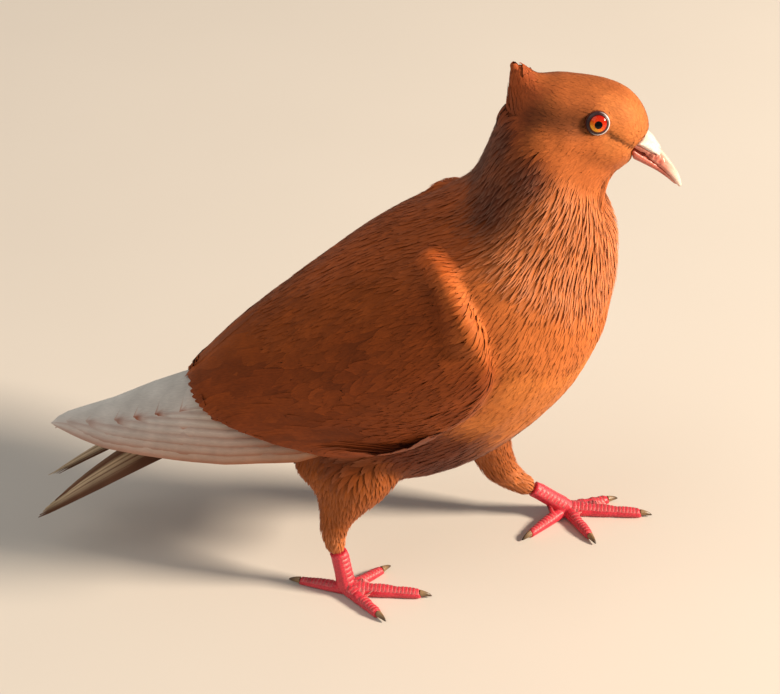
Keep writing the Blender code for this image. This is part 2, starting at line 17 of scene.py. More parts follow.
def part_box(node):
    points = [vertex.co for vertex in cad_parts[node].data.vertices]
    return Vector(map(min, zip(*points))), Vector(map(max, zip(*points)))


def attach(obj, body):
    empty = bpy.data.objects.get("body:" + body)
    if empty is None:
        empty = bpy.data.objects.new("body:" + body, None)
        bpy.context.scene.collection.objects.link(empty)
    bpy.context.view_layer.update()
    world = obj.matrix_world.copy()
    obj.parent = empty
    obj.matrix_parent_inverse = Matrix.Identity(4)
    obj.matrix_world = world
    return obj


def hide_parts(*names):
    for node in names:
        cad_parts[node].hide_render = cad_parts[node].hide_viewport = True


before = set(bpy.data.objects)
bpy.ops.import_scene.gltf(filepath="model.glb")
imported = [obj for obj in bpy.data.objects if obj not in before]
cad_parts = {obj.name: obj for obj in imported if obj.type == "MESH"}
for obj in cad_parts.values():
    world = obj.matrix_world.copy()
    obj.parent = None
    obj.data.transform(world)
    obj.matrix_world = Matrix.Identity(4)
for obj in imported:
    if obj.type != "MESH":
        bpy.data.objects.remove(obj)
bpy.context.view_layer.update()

MM = 0.001
SEED = 20
EYE_TABLE = (48.8, 11.0, 209.8)
EYE_LOW, EYE_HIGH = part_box("left_eye")
ZERO = (EYE_LOW + EYE_HIGH) / 2 - Vector(EYE_TABLE) * MM
EYE_LOOK = (0.10, 0.93, 0.35)  # the way the left eye looks

# Kinds of body feather: length, width, distance between roots, depth of the coat, how pointed (0 to 1),
# how far its shading melts into its neighbours' (0 to 1), and colour.
# The nape's, belly's, vent's and thigh's colours are darkened as painted shade; the coverts' and greater
# coverts' are partly their own deeper rust and partly painted shade.
LENGTH, WIDTH, SPACING, DEPTH, POINTED, SOFT, COLOUR = range(7)
FEATHERS = {
    "lore": (2.2, 1.4, 0.66, 0.32, 0.6, 0.9, "#BC6E38"),
    "face": (3.2, 1.6, 0.68, 0.34, 0.7, 0.94, "#C4733A"),
    "crown": (4.6, 1.8, 0.76, 0.4, 0.7, 0.94, "#A4592B"),
    "cheek": (4.8, 1.7, 0.76, 0.48, 0.8, 0.92, "#B4622F"),
    "nape": (8, 1.8, 1.2, 1.6, 0.9, 0.62, "#582208"),
    "neck": (9.5, 1.6, 1.22, 2, 1, 0.44, "#B8662F"),
    "collar": (10.5, 2.6, 1.36, 1.2, 0.8, 0.86, "#BC6831"),
    "crest": (6.5, 1.8, 0.85, 0.7, 0.8, 0.84, "#A04E26"),
    "breast": (9, 3, 1.36, 0.7, 0.6, 0.94, "#CC7634"),
    "belly": (12, 2.6, 1.7, 1.4, 0.7, 0.86, "#602607"),
    "vent": (13, 3.8, 2.3, 2, 0.5, 0.72, "#6C300C"),
    "mantle": (13, 2.3, 1.6, 1.3, 0.7, 0.74, "#A8501C"),
    "shoulder": (10, 2.2, 1.5, 1.1, 0.7, 0.8, "#883E12"),
    "coverts": (16, 6, 3, 1.2, 0.3, 0.82, "#78350E"),
    "greater": (24, 8, 4, 1.2, 0.25, 0.82, "#7A360F"),
    "scapular": (17, 2.8, 1.75, 1.2, 0.7, 0.78, "#90430F"),
    "rump": (16, 5.5, 3.2, 1.8, 0.4, 0.78, "#7A3A10"),
    "thigh": (7.5, 1.8, 1.15, 1.4, 0.9, 0.7, "#964C14"),
    "shank": (4.5, 1.4, 0.95, 0.9, 0.9, 0.55, "#B2622A"),
}

# The lie of the coat, by kind: a point near the surface, and the way the feathers run there. Rows with y
# over zero also stand, mirrored, for the right side.
LIE = {
    "lore": (
        (67, 0, 204, -0.35, 0, 0.94), (62, 6.5, 200, -0.95, 0.3, 0.12), (63, 2, 190, -0.8, 0.1, -0.55),
    ),
    "face": (
        (63, 5, 208, -0.5, 0.15, 0.8), (57, 11, 205, -0.95, 0.3, 0.05), (56, 9, 213, -0.85, 0.2, 0.35),
    ),
    "crown": (
        (57, 0, 219, -0.85, 0, 0.5), (45, 0, 221.5, -1, 0, 0.05), (36, 0, 222, -1, 0, 0),
        (30, 0, 222, -0.95, 0, 0.25), (35, 12, 216, -0.95, 0, 0.25), (49, 11, 218, -1, 0.1, 0.1),
        (40, 14, 215, -1, 0.1, -0.15),
    ),
    "crest": (
        (26, 3, 222, -0.75, -0.05, 0.65), (22.5, 2.6, 222, -0.15, -0.1, 0.98), (19, 0, 220, 0.08, 0, 1),
        (18.5, 0, 213, 0.05, 0, 1), (22, 8, 214, -0.1, -0.25, 0.96), (29, 9, 217, -0.8, -0.15, 0.58),
        (26, 14, 211, -0.8, -0.1, 0.3),
    ),
    "cheek": (
        (49, 14, 203, -1, 0.15, -0.2), (58, 9, 194, -0.92, 0.2, -0.3), (49, 13.5, 195, -0.86, 0.2, -0.45),
        (41, 16, 203, -0.9, 0.1, -0.45), (33, 17, 208, -0.95, 0, -0.25), (57.5, 0, 187, -0.75, 0, -0.65),
        (54, 6, 182, -0.55, 0.2, -0.8),
    ),
    "neck": (
        (54.6, 0, 174, -0.05, 0, -1), (56, 8, 168, -0.08, 0.1, -1), (48, 16, 180, -0.45, 0.15, -0.88),
        (40, 20, 186, -0.58, 0.1, -0.8), (60, 0, 155, 0, 0, -1), (57, 16, 150, -0.18, 0.2, -0.95),
        (45, 27, 157, -0.45, 0.15, -0.9), (31, 31, 166, -0.58, 0.1, -0.82),
    ),
    "nape": (
        (29, 20, 196, -0.55, 0.1, -0.85), (20, 12, 206, -0.45, 0, -0.9), (16.5, 0, 206.5, -0.4, 0, -0.92),
        (14, 22, 186, -0.5, 0.1, -0.88), (10, 0, 193, -0.4, 0, -0.92),
    ),
    "collar": (
        (60, 8, 136, -0.1, 0.1, -1), (52, 28, 132, -0.34, 0.15, -0.93), (37, 37, 140, -0.55, 0.1, -0.83),
        (18, 36, 152, -0.72, 0.1, -0.72),
    ),
    "mantle": (
        (2, 24, 167, -0.86, 0, -0.5), (2, 0, 174, -0.86, 0, -0.5), (-20, 13, 161, -0.82, 0, -0.57),
        (-38, 8, 150, -0.8, 0, -0.6),
    ),
    "breast": (
        (57, 10, 116, -0.25, 0.05, -0.96), (48, 30, 108, -0.5, 0.1, -0.85),
        (32, 43, 116, -0.62, 0.1, -0.78), (46, 0, 92, -0.6, 0, -0.8), (36, 26, 85, -0.74, 0, -0.66),
        (20, 42, 95, -0.8, 0, -0.58),
    ),
    "belly": (
        (24, 0, 66, -0.88, 0, -0.45), (14, 34, 79, -0.9, 0, -0.4), (3, 42, 87, -0.92, 0, -0.34),
        (8, 26, 66, -0.94, 0, -0.32), (-8, 0, 47, -1, 0, -0.15), (-8, 38, 78, -0.95, 0, -0.25),
    ),
    "vent": (
        (-32, 32, 68, -0.97, 0, -0.1), (-40, 0, 49, -1, 0, 0.1), (-70, 0, 60, -0.98, 0, 0.15),
        (-62, 18, 64, -0.98, -0.1, 0.1), (-95, 0, 63, -0.92, 0, -0.3),
    ),
    "rump": (
        (-95, 0, 88, -0.7, 0, -0.7),
    ),
    "shoulder": (
        (14, 45, 124, -0.78, 0, -0.55), (9, 47, 108, -0.88, 0, -0.38), (-4, 44, 150, -0.8, 0, -0.6),
        (-6, 50, 128, -0.84, 0, -0.52), (-8, 46, 94, -0.98, 0, -0.16),
    ),
    "coverts": (
        (-26, 51, 122, -0.86, -0.05, -0.48), (-30, 44, 145, -0.8, -0.1, -0.6),
        (-28, 48, 92, -0.99, -0.05, -0.1),
    ),
    "greater": (
        (-55, 44, 112, -0.84, -0.15, -0.48), (-58, 42, 86, -1, -0.1, -0.03),
        (-85, 32, 94, -0.9, -0.2, -0.3),
    ),
    "scapular": (
        (-22, 30, 149, -0.8, -0.1, -0.6), (-40, 24, 146, -0.78, -0.12, -0.62),
        (-58, 16, 132, -0.76, -0.12, -0.64), (-74, 11, 118, -0.76, -0.12, -0.64),
        (-88, 9, 104, -0.74, -0.1, -0.66),
    ),
}
# The legs differ from side to side, so both are written out.
LEG_LIE = {
    "thigh": (
        (-28, -30, 62, 0.05, 0, -1), (-56, -26, 62, -0.1, 0, -1), (-42, -33, 52, -0.05, 0.05, -1),
        (-42, -13, 48, -0.05, -0.1, -1), (-43, -24, 40, -0.1, 0, -1), (9, 34, 56, 0.3, 0.05, -0.95),
        (9, 14, 50, 0.3, 0.1, -0.95), (14.6, 32, 38, 0.3, 0, -0.95), (15, 20, 34, 0.35, 0, -0.92),
    ),
    "shank": (
        (-45.2, -24, 26, 0, 0, -1), (21, 29, 21, 0.7, 0, -0.7), (29, 30, 15, 0.82, 0, -0.55),
    ),
}

# Folds and rolls of the surface: the line each runs along, how far it reaches to each side, how far it
# stands out (or lies in), and how it changes the coat's colour: under 1 a painted shade, over 1 a painted
# light. Both sides of the bird have them.
FOLDS = (
    # the crease from the eye to the corner of the gape, darkened along it by painted shade
    (((52.4, 14.4, 207.4), (54.3, 14.2, 206.2), (59.1, 12.7, 202.5), (62.6, 10.0, 199.4)), 1.4, -0.9, 0.20),
    # the cheek, lightened a little on its swell by painted light, and the hollow over it behind the eye,
    # darkened by painted shade
    (((56.0, 12.5, 197.0), (48.0, 15.5, 202.5), (39.0, 16.5, 205.0)), 6.5, 0.9, 1.04),
    (((43.0, 15.2, 211.0), (36.0, 15.4, 212.0), (26.0, 13.6, 212.0)), 9.0, -0.9, 0.38),
    # the crest's back, which stands straight up from the nape
    (((18.0, 0.0, 222.0), (17.0, 0.0, 214.0), (17.0, 0.0, 206.0)), 6.5, 1.9, 1.0),
    # the fold where the chin's feathers lie over the throat, darkened along it by a painted shadow
    (((56.8, 6.5, 186.5), (53.6, 10.0, 184.0), (52.8, 10.2, 179.4), (52.4, 11.2, 176.0)), 2.6, -1.7, 0.10),
    # the roll of breast feathers over the bend of the wing, lightened by painted light, and the furrow
    # behind it, darkened by painted shade
    (((-8.5, 25.6, 160.6), (-1.8, 34.6, 156.6), (3.6, 42.2, 148.4), (8.2, 46.0, 139.0)), 6.5, 2.8, 1.55),
    (((-12.0, 29.0, 158.0), (-6.5, 38.0, 153.0), (-4.0, 46.0, 144.5), (0.6, 49.5, 134.0)), 4.2, -1.3, 0.84),
)


# ---------------- plain helpers


def to_frame(points):
    """Points in table millimetres as frame metres."""
    return np.asarray(points, float) * MM + np.array(ZERO)


def to_table(points):
    """Points in frame metres as table millimetres."""
    return (np.asarray(points, float) - np.array(ZERO)) / MM


def unit(arrows):
    """Arrows as they point, each one long; none is divided by nothing."""
    arrows = np.asarray(arrows, float)
    return arrows / np.maximum(np.linalg.norm(arrows, axis=-1, keepdims=True), 1e-12)


def ramp(values, start, stretch):
    """0 up to start, 1 from stretch further on, and straight between."""
    return np.clip((values - start) / stretch, 0.0, 1.0)


def linear(code):
    """An sRGB hex colour as linear red, green, blue and alpha."""
    parts = [int(code[index : index + 2], 16) / 255 for index in (1, 3, 5)]
    return tuple(c / 12.92 if c <= 0.04045 else ((c + 0.055) / 1.055) ** 2.4 for c in parts) + (1.0,)


def paint(code):
    """An sRGB hex colour as a linear red, green and blue array."""
    return np.array(linear(code)[:3])


def mix(first, second, share):
    """Colours from the first to the second by a share, kept between 0 and 1."""
    share = np.clip(share, 0.0, 1.0)[..., None]
    return first * (1 - share) + second * share


def through(rows, share):
    """Rows of numbers read at shares from 0 to 1 along them."""
    rows = np.array(rows, float)
    spots = np.linspace(0.0, 1.0, len(rows))
    return np.stack([np.interp(share, spots, column) for column in rows.T], -1)


def table_at(rows, x):
    """The other columns of a table whose first column falls, read at x."""
    rows = np.array(rows)[::-1]
    return np.stack([np.interp(x, rows[:, 0], column) for column in rows.T[1:]], -1)


def choose(*objects):
    """Selects only these objects and makes the first one active."""
    bpy.ops.object.select_all(action="DESELECT")
    for obj in objects:
        obj.select_set(True)
    bpy.context.view_layer.objects.active = objects[0]


def modify(obj, kind, **settings):
    """Adds one modifier and applies it."""
    choose(obj)
    step = obj.modifiers.new(kind.lower(), kind)
    for key, value in settings.items():
        setattr(step, key, value)
    bpy.ops.object.modifier_apply(modifier=step.name)


def joined_copy(name, nodes):
    """One object made from copies of CAD nodes, with their loose triangles merged."""
    copies = []
    for node in nodes:
        copy = bpy.data.objects.new(name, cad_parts[node].data.copy())
        bpy.context.scene.collection.objects.link(copy)
        copy.data.materials.clear()
        copies.append(copy)
    choose(*copies)
    bpy.ops.object.join()
    obj = bpy.context.active_object
    bpy.ops.object.mode_set(mode="EDIT")
    bpy.ops.mesh.select_all(action="SELECT")
    bpy.ops.mesh.remove_doubles(threshold=1e-6)
    bpy.ops.object.mode_set(mode="OBJECT")
    obj.name = name
    obj.data.name = name
    return obj


def even_out(obj, voxel, rounds):
    """Makes a piece's faces even and small, and smooths them."""
    modify(obj, "REMESH", mode="VOXEL", voxel_size=voxel * MM)
    modify(obj, "SMOOTH", factor=0.5, iterations=rounds)
    return obj


def fine_copy(name, nodes, voxel, rounds):
    """CAD nodes made over as one piece in fine, even faces and smoothed."""
    return even_out(joined_copy(name, nodes), voxel, rounds)


def vectors(items, field):
    """One field of a mesh's vertices, normals or faces as rows of three numbers."""
    values = np.empty(len(items) * 3)
    items.foreach_get(field, values)
    return values.reshape(-1, 3)


def coordinates(mesh):
    return vectors(mesh.vertices, "co")


def vertex_normals(mesh):
    return vectors(mesh.vertex_normals, "vector")


def push_out(obj, amount, shift=0.0):
    """Moves each vertex along its normal by its own amount in millimetres, and by a shift in metres."""
    moved = coordinates(obj.data) + vertex_normals(obj.data) * amount[:, None] * MM + shift
    obj.data.vertices.foreach_set("co", moved.ravel())
    obj.data.update()


def put_tint(mesh, tints):
    """Gives a mesh's vertices their colours as the attribute Tint, which the materials read."""
    values = np.ones((len(tints), 4))
    values[:, :3] = tints
    mesh.attributes.new("Tint", "FLOAT_COLOR", "POINT").data.foreach_set("color", values.ravel())


def smooth(mesh):
    mesh.polygons.foreach_set("use_smooth", np.ones(len(mesh.polygons), dtype=bool))


def side_name(side):
    return "left" if side > 0 else "right"


def hand_in(piece, slot, *nodes):
    """Gives a piece its place in the model, and hides the CAD nodes it stands in for."""
    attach(piece, "root")
    if nodes:
        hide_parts(*nodes)


def dress_piece(piece, material, slot, *nodes):
    """Smooth shading and the material for a finished piece, then its place in the model."""
    smooth(piece.data)
    piece.data.materials.append(material)
    hand_in(piece, slot, *nodes)


# ---------------- the lie of the coat

GUIDE_SOFTNESS = 6.0  # in square millimetres: keeps a point on one guide from taking that guide alone
EYE_PARTING = (9.0, 4.0)  # how far from an eye's middle the feathers begin to part, and over what distance


def lie_rows():
    """Guide points, the ways the feathers run there, and their sizes and colours, on both sides."""
    rows = [(kind, *row) for kind, group in LEG_LIE.items() for row in group]
    for kind, group in LIE.items():
        for x, y, z, dx, dy, dz in group:
            rows.append((kind, x, y, z, dx, dy, dz))
            if y > 0:
                rows.append((kind, x, -y, z, dx, -dy, dz))
    kinds = [FEATHERS[row[0]] for row in rows]
    places = np.array([row[1:4] for row in rows], float)
    sizes = np.array([kind[:COLOUR] for kind in kinds])
    colours = np.array([paint(kind[COLOUR]) for kind in kinds])
    return places, unit([row[4:7] for row in rows]), sizes, colours


LIE_PLACES, LIE_WAYS, LIE_SIZES, LIE_COLOURS = lie_rows()


def lie_weights(points):
    """How much each guide counts at points, the nearest ones most."""
    squares = (points**2).sum(1)[:, None] - 2 * points @ LIE_PLACES.T + (LIE_PLACES**2).sum(1)[None]
    weights = 1.0 / (np.maximum(squares, 0.0) + GUIDE_SOFTNESS) ** 2
    return weights / weights.sum(1, keepdims=True)


def ways_at(points):
    return lie_weights(points) @ LIE_WAYS


def sizes_at(points):
    return lie_weights(points) @ LIE_SIZES


def colour_at(points):
    """The plumage's colour at points on the bird, the same for the skin and the feathers on it."""
    return lie_weights(points) @ LIE_COLOURS


def eye_axis(side):
    """The middle of an eye and the way it looks, in the tables' axes."""
    flip = np.array((1, side, 1))
    return np.array(EYE_TABLE) * flip, unit(np.array(EYE_LOOK) * flip)


def around_eyes(points, ways):
    """Feathers part round the eyes: close to one, the part of their way that points at it is taken off."""
    reach, fade = EYE_PARTING
    for side in (-1, 1):
        out = points - eye_axis(side)[0]
        distance = np.linalg.norm(out, axis=1, keepdims=True)
        out = out / np.maximum(distance, 1e-6)
        inward = np.minimum((ways * out).sum(1, keepdims=True), 0.0)
        ways = ways - out * inward * np.clip((reach - distance) / fade, 0.0, 1.0)
    return ways


def fold_shares(points, line, reach):
    """How fully a fold acts at points: 1 on its line, falling smoothly to 0 at its reach."""
    points = np.stack([points[:, 0], np.abs(points[:, 1]), points[:, 2]], -1)
    nearest = np.full(len(points), np.inf)
    for start, end in zip(np.array(line)[:-1], np.array(line)[1:]):
        run = end - start
        share = np.clip((points - start) @ run / (run @ run), 0.0, 1.0)
        nearest = np.minimum(nearest, np.linalg.norm(points - start - share[:, None] * run, axis=1))
    return np.clip(1.0 - (nearest / reach) ** 2, 0.0, 1.0) ** 2


def fold_shade_and_light(points):
    """How much the folds' painted shade and painted light darken and lighten the coat at points."""
    tone = np.ones(len(points))
    for line, reach, _, change in FOLDS:
        tone *= 1.0 + (change - 1.0) * fold_shares(points, line, reach)
    return tone


# ---------------- skin

BODY_FLESH = ("head", "neck", "trunk", "crest", "left_wing", "right_wing", "left_thigh", "right_thigh")
FEET = ("left_foot", "right_foot")
BODY_VOXEL, FOOT_VOXEL = 1.3, 0.45
FOOT_FILL = 0.25  # what the smoothing takes off the feet, put back
CREST_FOOT = (29.0, 0.0, 215.0)
CREST_BLEND = (12.0, 15.0, 9.0)  # how far round its foot the crest is smoothed into the head
BLEND_STEEPNESS, BLEND_ROUNDS = 1.6, 26
BODY_ROUNDS, INSET_ROUNDS, FOOT_ROUNDS = 6, 4, 4  # how often each is smoothed
SHADED_GAP_BRIGHTNESS = 0.25  # painted shade on the skin in the coat's gaps, partly also the down's own deeper colour: how bright the skin shows between crisp feathers; between soft ones it is not darkened
NORMAL_BLEND = 0.05  # in millimetres: keeps a corner's normal from taking a place right on it alone
TRIES_PER_ROOT = 3.2
FOOT_COLOUR = "#D63648"


def blend_crest(body):
    """Smooths the crest's foot into the head, so that the two are one surface."""
    points = to_table(coordinates(body.data))
    reach = np.linalg.norm((points - np.array(CREST_FOOT)) / np.array(CREST_BLEND), axis=1)
    share = np.clip(BLEND_STEEPNESS - BLEND_STEEPNESS * reach, 0.0, 1.0)
    group = body.vertex_groups.new(name="crest_foot")
    for index in np.flatnonzero(share > 0).tolist():
        group.add([index], float(share[index]), "REPLACE")
    modify(body, "SMOOTH", factor=0.5, iterations=BLEND_ROUNDS, vertex_group="crest_foot")
    body.vertex_groups.clear()


def make_skin():
    """The flesh as one closed skin, let in under the coat and folded, with the bare feet joined on."""
    body = fine_copy("skin", BODY_FLESH + ("left_eye", "right_eye"), BODY_VOXEL, BODY_ROUNDS)
    blend_crest(body)
    push_out(body, -sizes_at(to_table(coordinates(body.data)))[:, DEPTH])
    even_out(body, BODY_VOXEL, INSET_ROUNDS)
    table = to_table(coordinates(body.data))
    push_out(body, sum(height * fold_shares(table, line, reach) for line, reach, height, _ in FOLDS))
    body.data.materials.append(skin_under_feathers())
    feet = fine_copy("feet", FEET, FOOT_VOXEL, FOOT_ROUNDS)
    push_out(feet, FOOT_FILL * np.clip(1.0 + vertex_normals(feet.data)[:, 2], 0.0, 1.0))
    feet.data.materials.append(bare_leg_skin())
    choose(body, feet)
    bpy.ops.object.join()
    bpy.ops.object.mode_set(mode="EDIT")
    bpy.ops.mesh.select_all(action="SELECT")
    bpy.ops.uv.smart_project(angle_limit=math.radians(70), island_margin=0.002)
    bpy.ops.object.mode_set(mode="OBJECT")
    body.data.uv_layers[0].name = "OFBake"
    smooth(body.data)
    hand_in(body, "plumage", *BODY_FLESH, *FEET)
    tint_skin(body.data)
    return body


def tint_skin(mesh):
    """Gives the skin its Tint: plumage colours on the body, darkened by painted shade in the coat's gaps
    and changed by the folds' painted shade and light, and crimson on the feet.
    """
    points = to_table(coordinates(mesh))
    # down: painted shade in the coat's gaps, partly the down's own deeper colour, times the folds' painted
    # shade and light
    down = SHADED_GAP_BRIGHTNESS + (1 - SHADED_GAP_BRIGHTNESS) * ramp(sizes_at(points)[:, SOFT], 0.4, 0.45)
    down = down * fold_shade_and_light(points)
    tints = colour_at(points) * down[:, None]
    for face in mesh.polygons:
        if face.material_index == 1:
            tints[list(face.vertices)] = paint(FOOT_COLOUR)
    put_tint(mesh, tints)


class Surface:
    """One material's part of the skin as arrays in table millimetres, with a tree for nearest points."""

    def __init__(self, mesh, slot):
        mesh.calc_loop_triangles()
        faces = [face for face in mesh.loop_triangles if face.material_index == slot]
        uvs = np.empty(len(mesh.loops) * 2)
        mesh.uv_layers["OFBake"].data.foreach_get("uv", uvs)
        self.triangles = np.array([tuple(face.vertices) for face in faces])
        self.uv = uvs.reshape(-1, 2)[np.array([tuple(face.loops) for face in faces])].mean(1)
        self.points = to_table(coordinates(mesh))
        self.normals = vertex_normals(mesh)
        self.tree = BVHTree.FromPolygons(self.points.tolist(), self.triangles.tolist())

    def nearest(self, points):
        """The nearest places on the skin, their smooth normals and their triangles."""
        found = [self.tree.find_nearest(point) for point in points.tolist()]
        places = np.array([hit[0] for hit in found])
        faces = np.array([hit[2] for hit in found])
        corners = self.triangles[faces]
        weights = 1.0 / (np.linalg.norm(self.points[corners] - places[:, None], axis=2) + NORMAL_BLEND)
        return places, unit((self.normals[corners] * weights[:, :, None]).sum(1)), faces


def root_points(surface, rng):
    """Feather roots spread over the feathered skin, as far apart as each kind wants."""
    corners = surface.points[surface.triangles]
    cross = np.cross(corners[:, 1] - corners[:, 0], corners[:, 2] - corners[:, 0])
    area = np.linalg.norm(cross, axis=1) / 2
    share = area / sizes_at(corners.mean(1))[:, SPACING] ** 2
    tries = int(share.sum() * TRIES_PER_ROOT)
    picked = rng.choice(len(area), size=tries, p=share / share.sum())
    first, second = rng.random(tries), rng.random(tries)
    flip = first + second > 1
    first[flip], second[flip] = 1 - first[flip], 1 - second[flip]
    chosen = corners[picked]
    points = chosen[:, 0] + first[:, None] * (chosen[:, 1] - chosen[:, 0])
    points += second[:, None] * (chosen[:, 2] - chosen[:, 0])
    distance = sizes_at(points)[:, SPACING]
    tree = KDTree(tries)
    for index, point in enumerate(points.tolist()):
        tree.insert(point, index)
    tree.balance()
    alive = np.ones(tries, dtype=bool)
    kept = []
    for index in range(tries):
        if alive[index]:
            kept.append(index)
            for _, other, _ in tree.find_range(points[index].tolist(), distance[index]):
                alive[other] = False
    return points[kept], picked[kept]


# ---------------- feathers as thin closed vanes

# A crisp feather's root lies this far in the skin, a soft one's this share of the coat's depth up.
ROOT_SUNK, ROOT_RAISED = -0.3, 0.75
RISE_POWER = 0.9  # how evenly a spine rises from its root to the coat's depth
# A spine leaves the skin where the skin turns off, or lies off the spine's way, by more than this.
TURN_LIMIT, AWAY_LIMIT = math.cos(math.radians(42)), 0.75
TIP_SHARE = 0.10  # the least width of a vane, as a share of its full width
WIDEST = 0.3  # how far along a vane it reaches its full width
SKIN_SHARE = 0.45  # how far shading follows the skin where a feather's softness isn't given
BAKE_PATCH = 0.003  # the side of each feather's patch on the unwrap
SHEEN_COLOUR, TIP_SHEEN = "#F0C6AC", 0.7  # the colour of the painted sheen on crisp feathers' tips, and how strong it is
SHADE_SPREAD = 2.0  # no feather is paler or darker than this many times the usual difference


def row_spots(rows):
    """How far along the feather each row lies: closer together towards the tip, where it rounds off."""
    return 1.0 - (1.0 - np.linspace(0.0, 1.0, rows)) ** 1.3


def trace(surface, roots, lengths, depth, soft, rows):
    """Spines that start in the skin and follow the lie of the coat, rising to its depth at the tip."""
    places, normals, _ = surface.nearest(roots)
    spots = row_spots(rows)
    spine = np.empty((len(roots), rows, 3))
    ups = np.empty_like(spine)
    last = None
    free = np.zeros(len(roots), dtype=bool)
    start = ROOT_SUNK + (depth * ROOT_RAISED - ROOT_SUNK) * soft**2
    for row in range(rows):
        rise = start + (depth - start) * spots[row] ** RISE_POWER
        spine[:, row] = places + normals * rise[:, None]
        ups[:, row] = normals
        if row == rows - 1:
            break
        ways = around_eyes(places, ways_at(places))
        ways = unit(ways - normals * (ways * normals).sum(1, keepdims=True))
        if last is not None:
            ways = np.where(free[:, None], last, unit(ways + last))
        step = lengths * (spots[row + 1] - spots[row])
        aim = places + ways * step[:, None]
        found, found_normals, _ = surface.nearest(aim)
        free |= (found_normals * normals).sum(1) < TURN_LIMIT
        free |= np.linalg.norm(found - aim, axis=1) > step * AWAY_LIMIT
        places = np.where(free[:, None], aim, found)
        normals = np.where(free[:, None], normals, found_normals)
        last = ways
    return spine, ups


def vane_grid(
    spine, ups, widths, pointed, columns, rng, camber=0.22, ragged=0.05, root_share=0.35, soft=None
):
    """Grids of points over the vanes, with their shading normals and their places across and along."""
    count, rows, _ = spine.shape
    spots = row_spots(rows)
    tangent = unit(np.gradient(spine, axis=1))
    side = unit(np.cross(ups, tangent))
    top = unit(np.cross(tangent, side))
    power = (6.0 - 4.2 * pointed)[:, None]
    bluntness = (0.5 + 0.45 * pointed)[:, None]
    swell = np.minimum(spots / WIDEST, 1.0)[None] ** 0.7 * (1 - root_share) + root_share
    taper = np.maximum(1.0 - spots[None] ** power, 0.0) ** bluntness
    if widths.ndim == 1:
        widths = widths[:, None]
    half = widths / 2 * np.maximum(swell * taper, TIP_SHARE)
    across = np.linspace(-1.0, 1.0, columns)
    length = np.linalg.norm(np.diff(spine, axis=1), axis=2).sum(1)
    grid = spine[:, :, None] + side[:, :, None] * (half[:, :, None] * across)[..., None]
    camber = np.reshape(camber, (-1, 1, 1))
    grid -= top[:, :, None] * (camber * half[:, :, None] * across**2)[..., None]
    fray = rng.normal(0.0, ragged, (count, rows, columns)) * length[:, None, None]
    grid += tangent[:, :, None] * (fray * (spots**4)[None, :, None])[..., None]
    lean = side[:, :, None] * (across * camber * 1.6)[..., None]
    melt = (np.full(count, SKIN_SHARE) if soft is None else soft)[:, None, None, None]
    shade = unit(unit(top[:, :, None] + lean) * (1 - melt) + ups[:, :, None] * melt)
    places = half[:, :, None] * across, length[:, None, None] * spots[:, None]
    return grid, shade, np.stack(np.broadcast_arrays(*places), -1)


def closed_grids(name, batches, material, slot, *nodes):
    """One mesh of many thin closed shapes: each a domed grid with a flat strip under it and two end caps.

    Each batch holds grids of points, shading normals, places on the vane and tints, and each root's place
    on the skin's unwrap.
    """
    parts = [[] for _ in range(5)]
    corners, sizes, domed = [], [], []
    offset = 0
    for grid, shade, vane, tint, root in batches:
        count, rows, columns, _ = grid.shape
        index = np.arange(rows * columns).reshape(rows, columns)
        low, high = index[:-1], index[1:]
        tops = np.stack([low[:, :-1], high[:, :-1], high[:, 1:], low[:, 1:]], -1).reshape(-1, 4)
        under = np.stack([low[:, 0], low[:, -1], high[:, -1], high[:, 0]], -1)
        shape = np.concatenate([tops.ravel(), under.ravel(), index[0], index[-1][::-1]])
        starts = offset + np.arange(count) * rows * columns
        corners.append((starts[:, None] + shape[None]).ravel())
        sizes.append(np.tile([4] * (len(tops) + len(under)) + [columns] * 2, count))
        domed.append(np.tile(np.arange(len(shape)) < tops.size, count))
        offset += count * rows * columns
        patch = np.empty(grid.shape[:3] + (2,))
        patch[..., 0] = root[:, None, None, 0] + (np.linspace(0, 1, columns) - 0.5) * BAKE_PATCH
        patch[..., 1] = root[:, None, None, 1] + (row_spots(rows)[:, None] - 0.5) * BAKE_PATCH
        for part, values in zip(parts, (grid, shade, vane, tint, patch)):
            part.append(values.reshape(-1, values.shape[-1]))
    points, shades, vanes, tints, bakes = (np.concatenate(part) for part in parts)
    corners, sizes, domed = (np.concatenate(part) for part in (corners, sizes, domed))
    mesh = bpy.data.meshes.new(name)
    mesh.vertices.add(len(points))
    mesh.vertices.foreach_set("co", to_frame(points).ravel())
    mesh.loops.add(len(corners))
    mesh.loops.foreach_set("vertex_index", corners.astype(np.int32))
    mesh.polygons.add(len(sizes))
    starts = np.concatenate([[0], np.cumsum(sizes)[:-1]])
    mesh.polygons.foreach_set("loop_start", starts.astype(np.int32))
    smooth(mesh)
    mesh.materials.append(material)
    for label, values in (("OFBake", bakes), ("Vane", vanes)):
        mesh.uv_layers.new(name=label).data.foreach_set("uv", values[corners].ravel())
    put_tint(mesh, np.clip(tints, 0.0, 1.0))
    mesh.update(calc_edges=True)
    mesh.validate()
    flat = np.repeat(vectors(mesh.polygons, "normal"), sizes, axis=0)
    mesh.normals_split_custom_set(unit(np.where(domed[:, None], shades[corners], flat)))
    piece = bpy.data.objects.new(name, mesh)
    bpy.context.scene.collection.objects.link(piece)
    hand_in(piece, slot, *nodes)


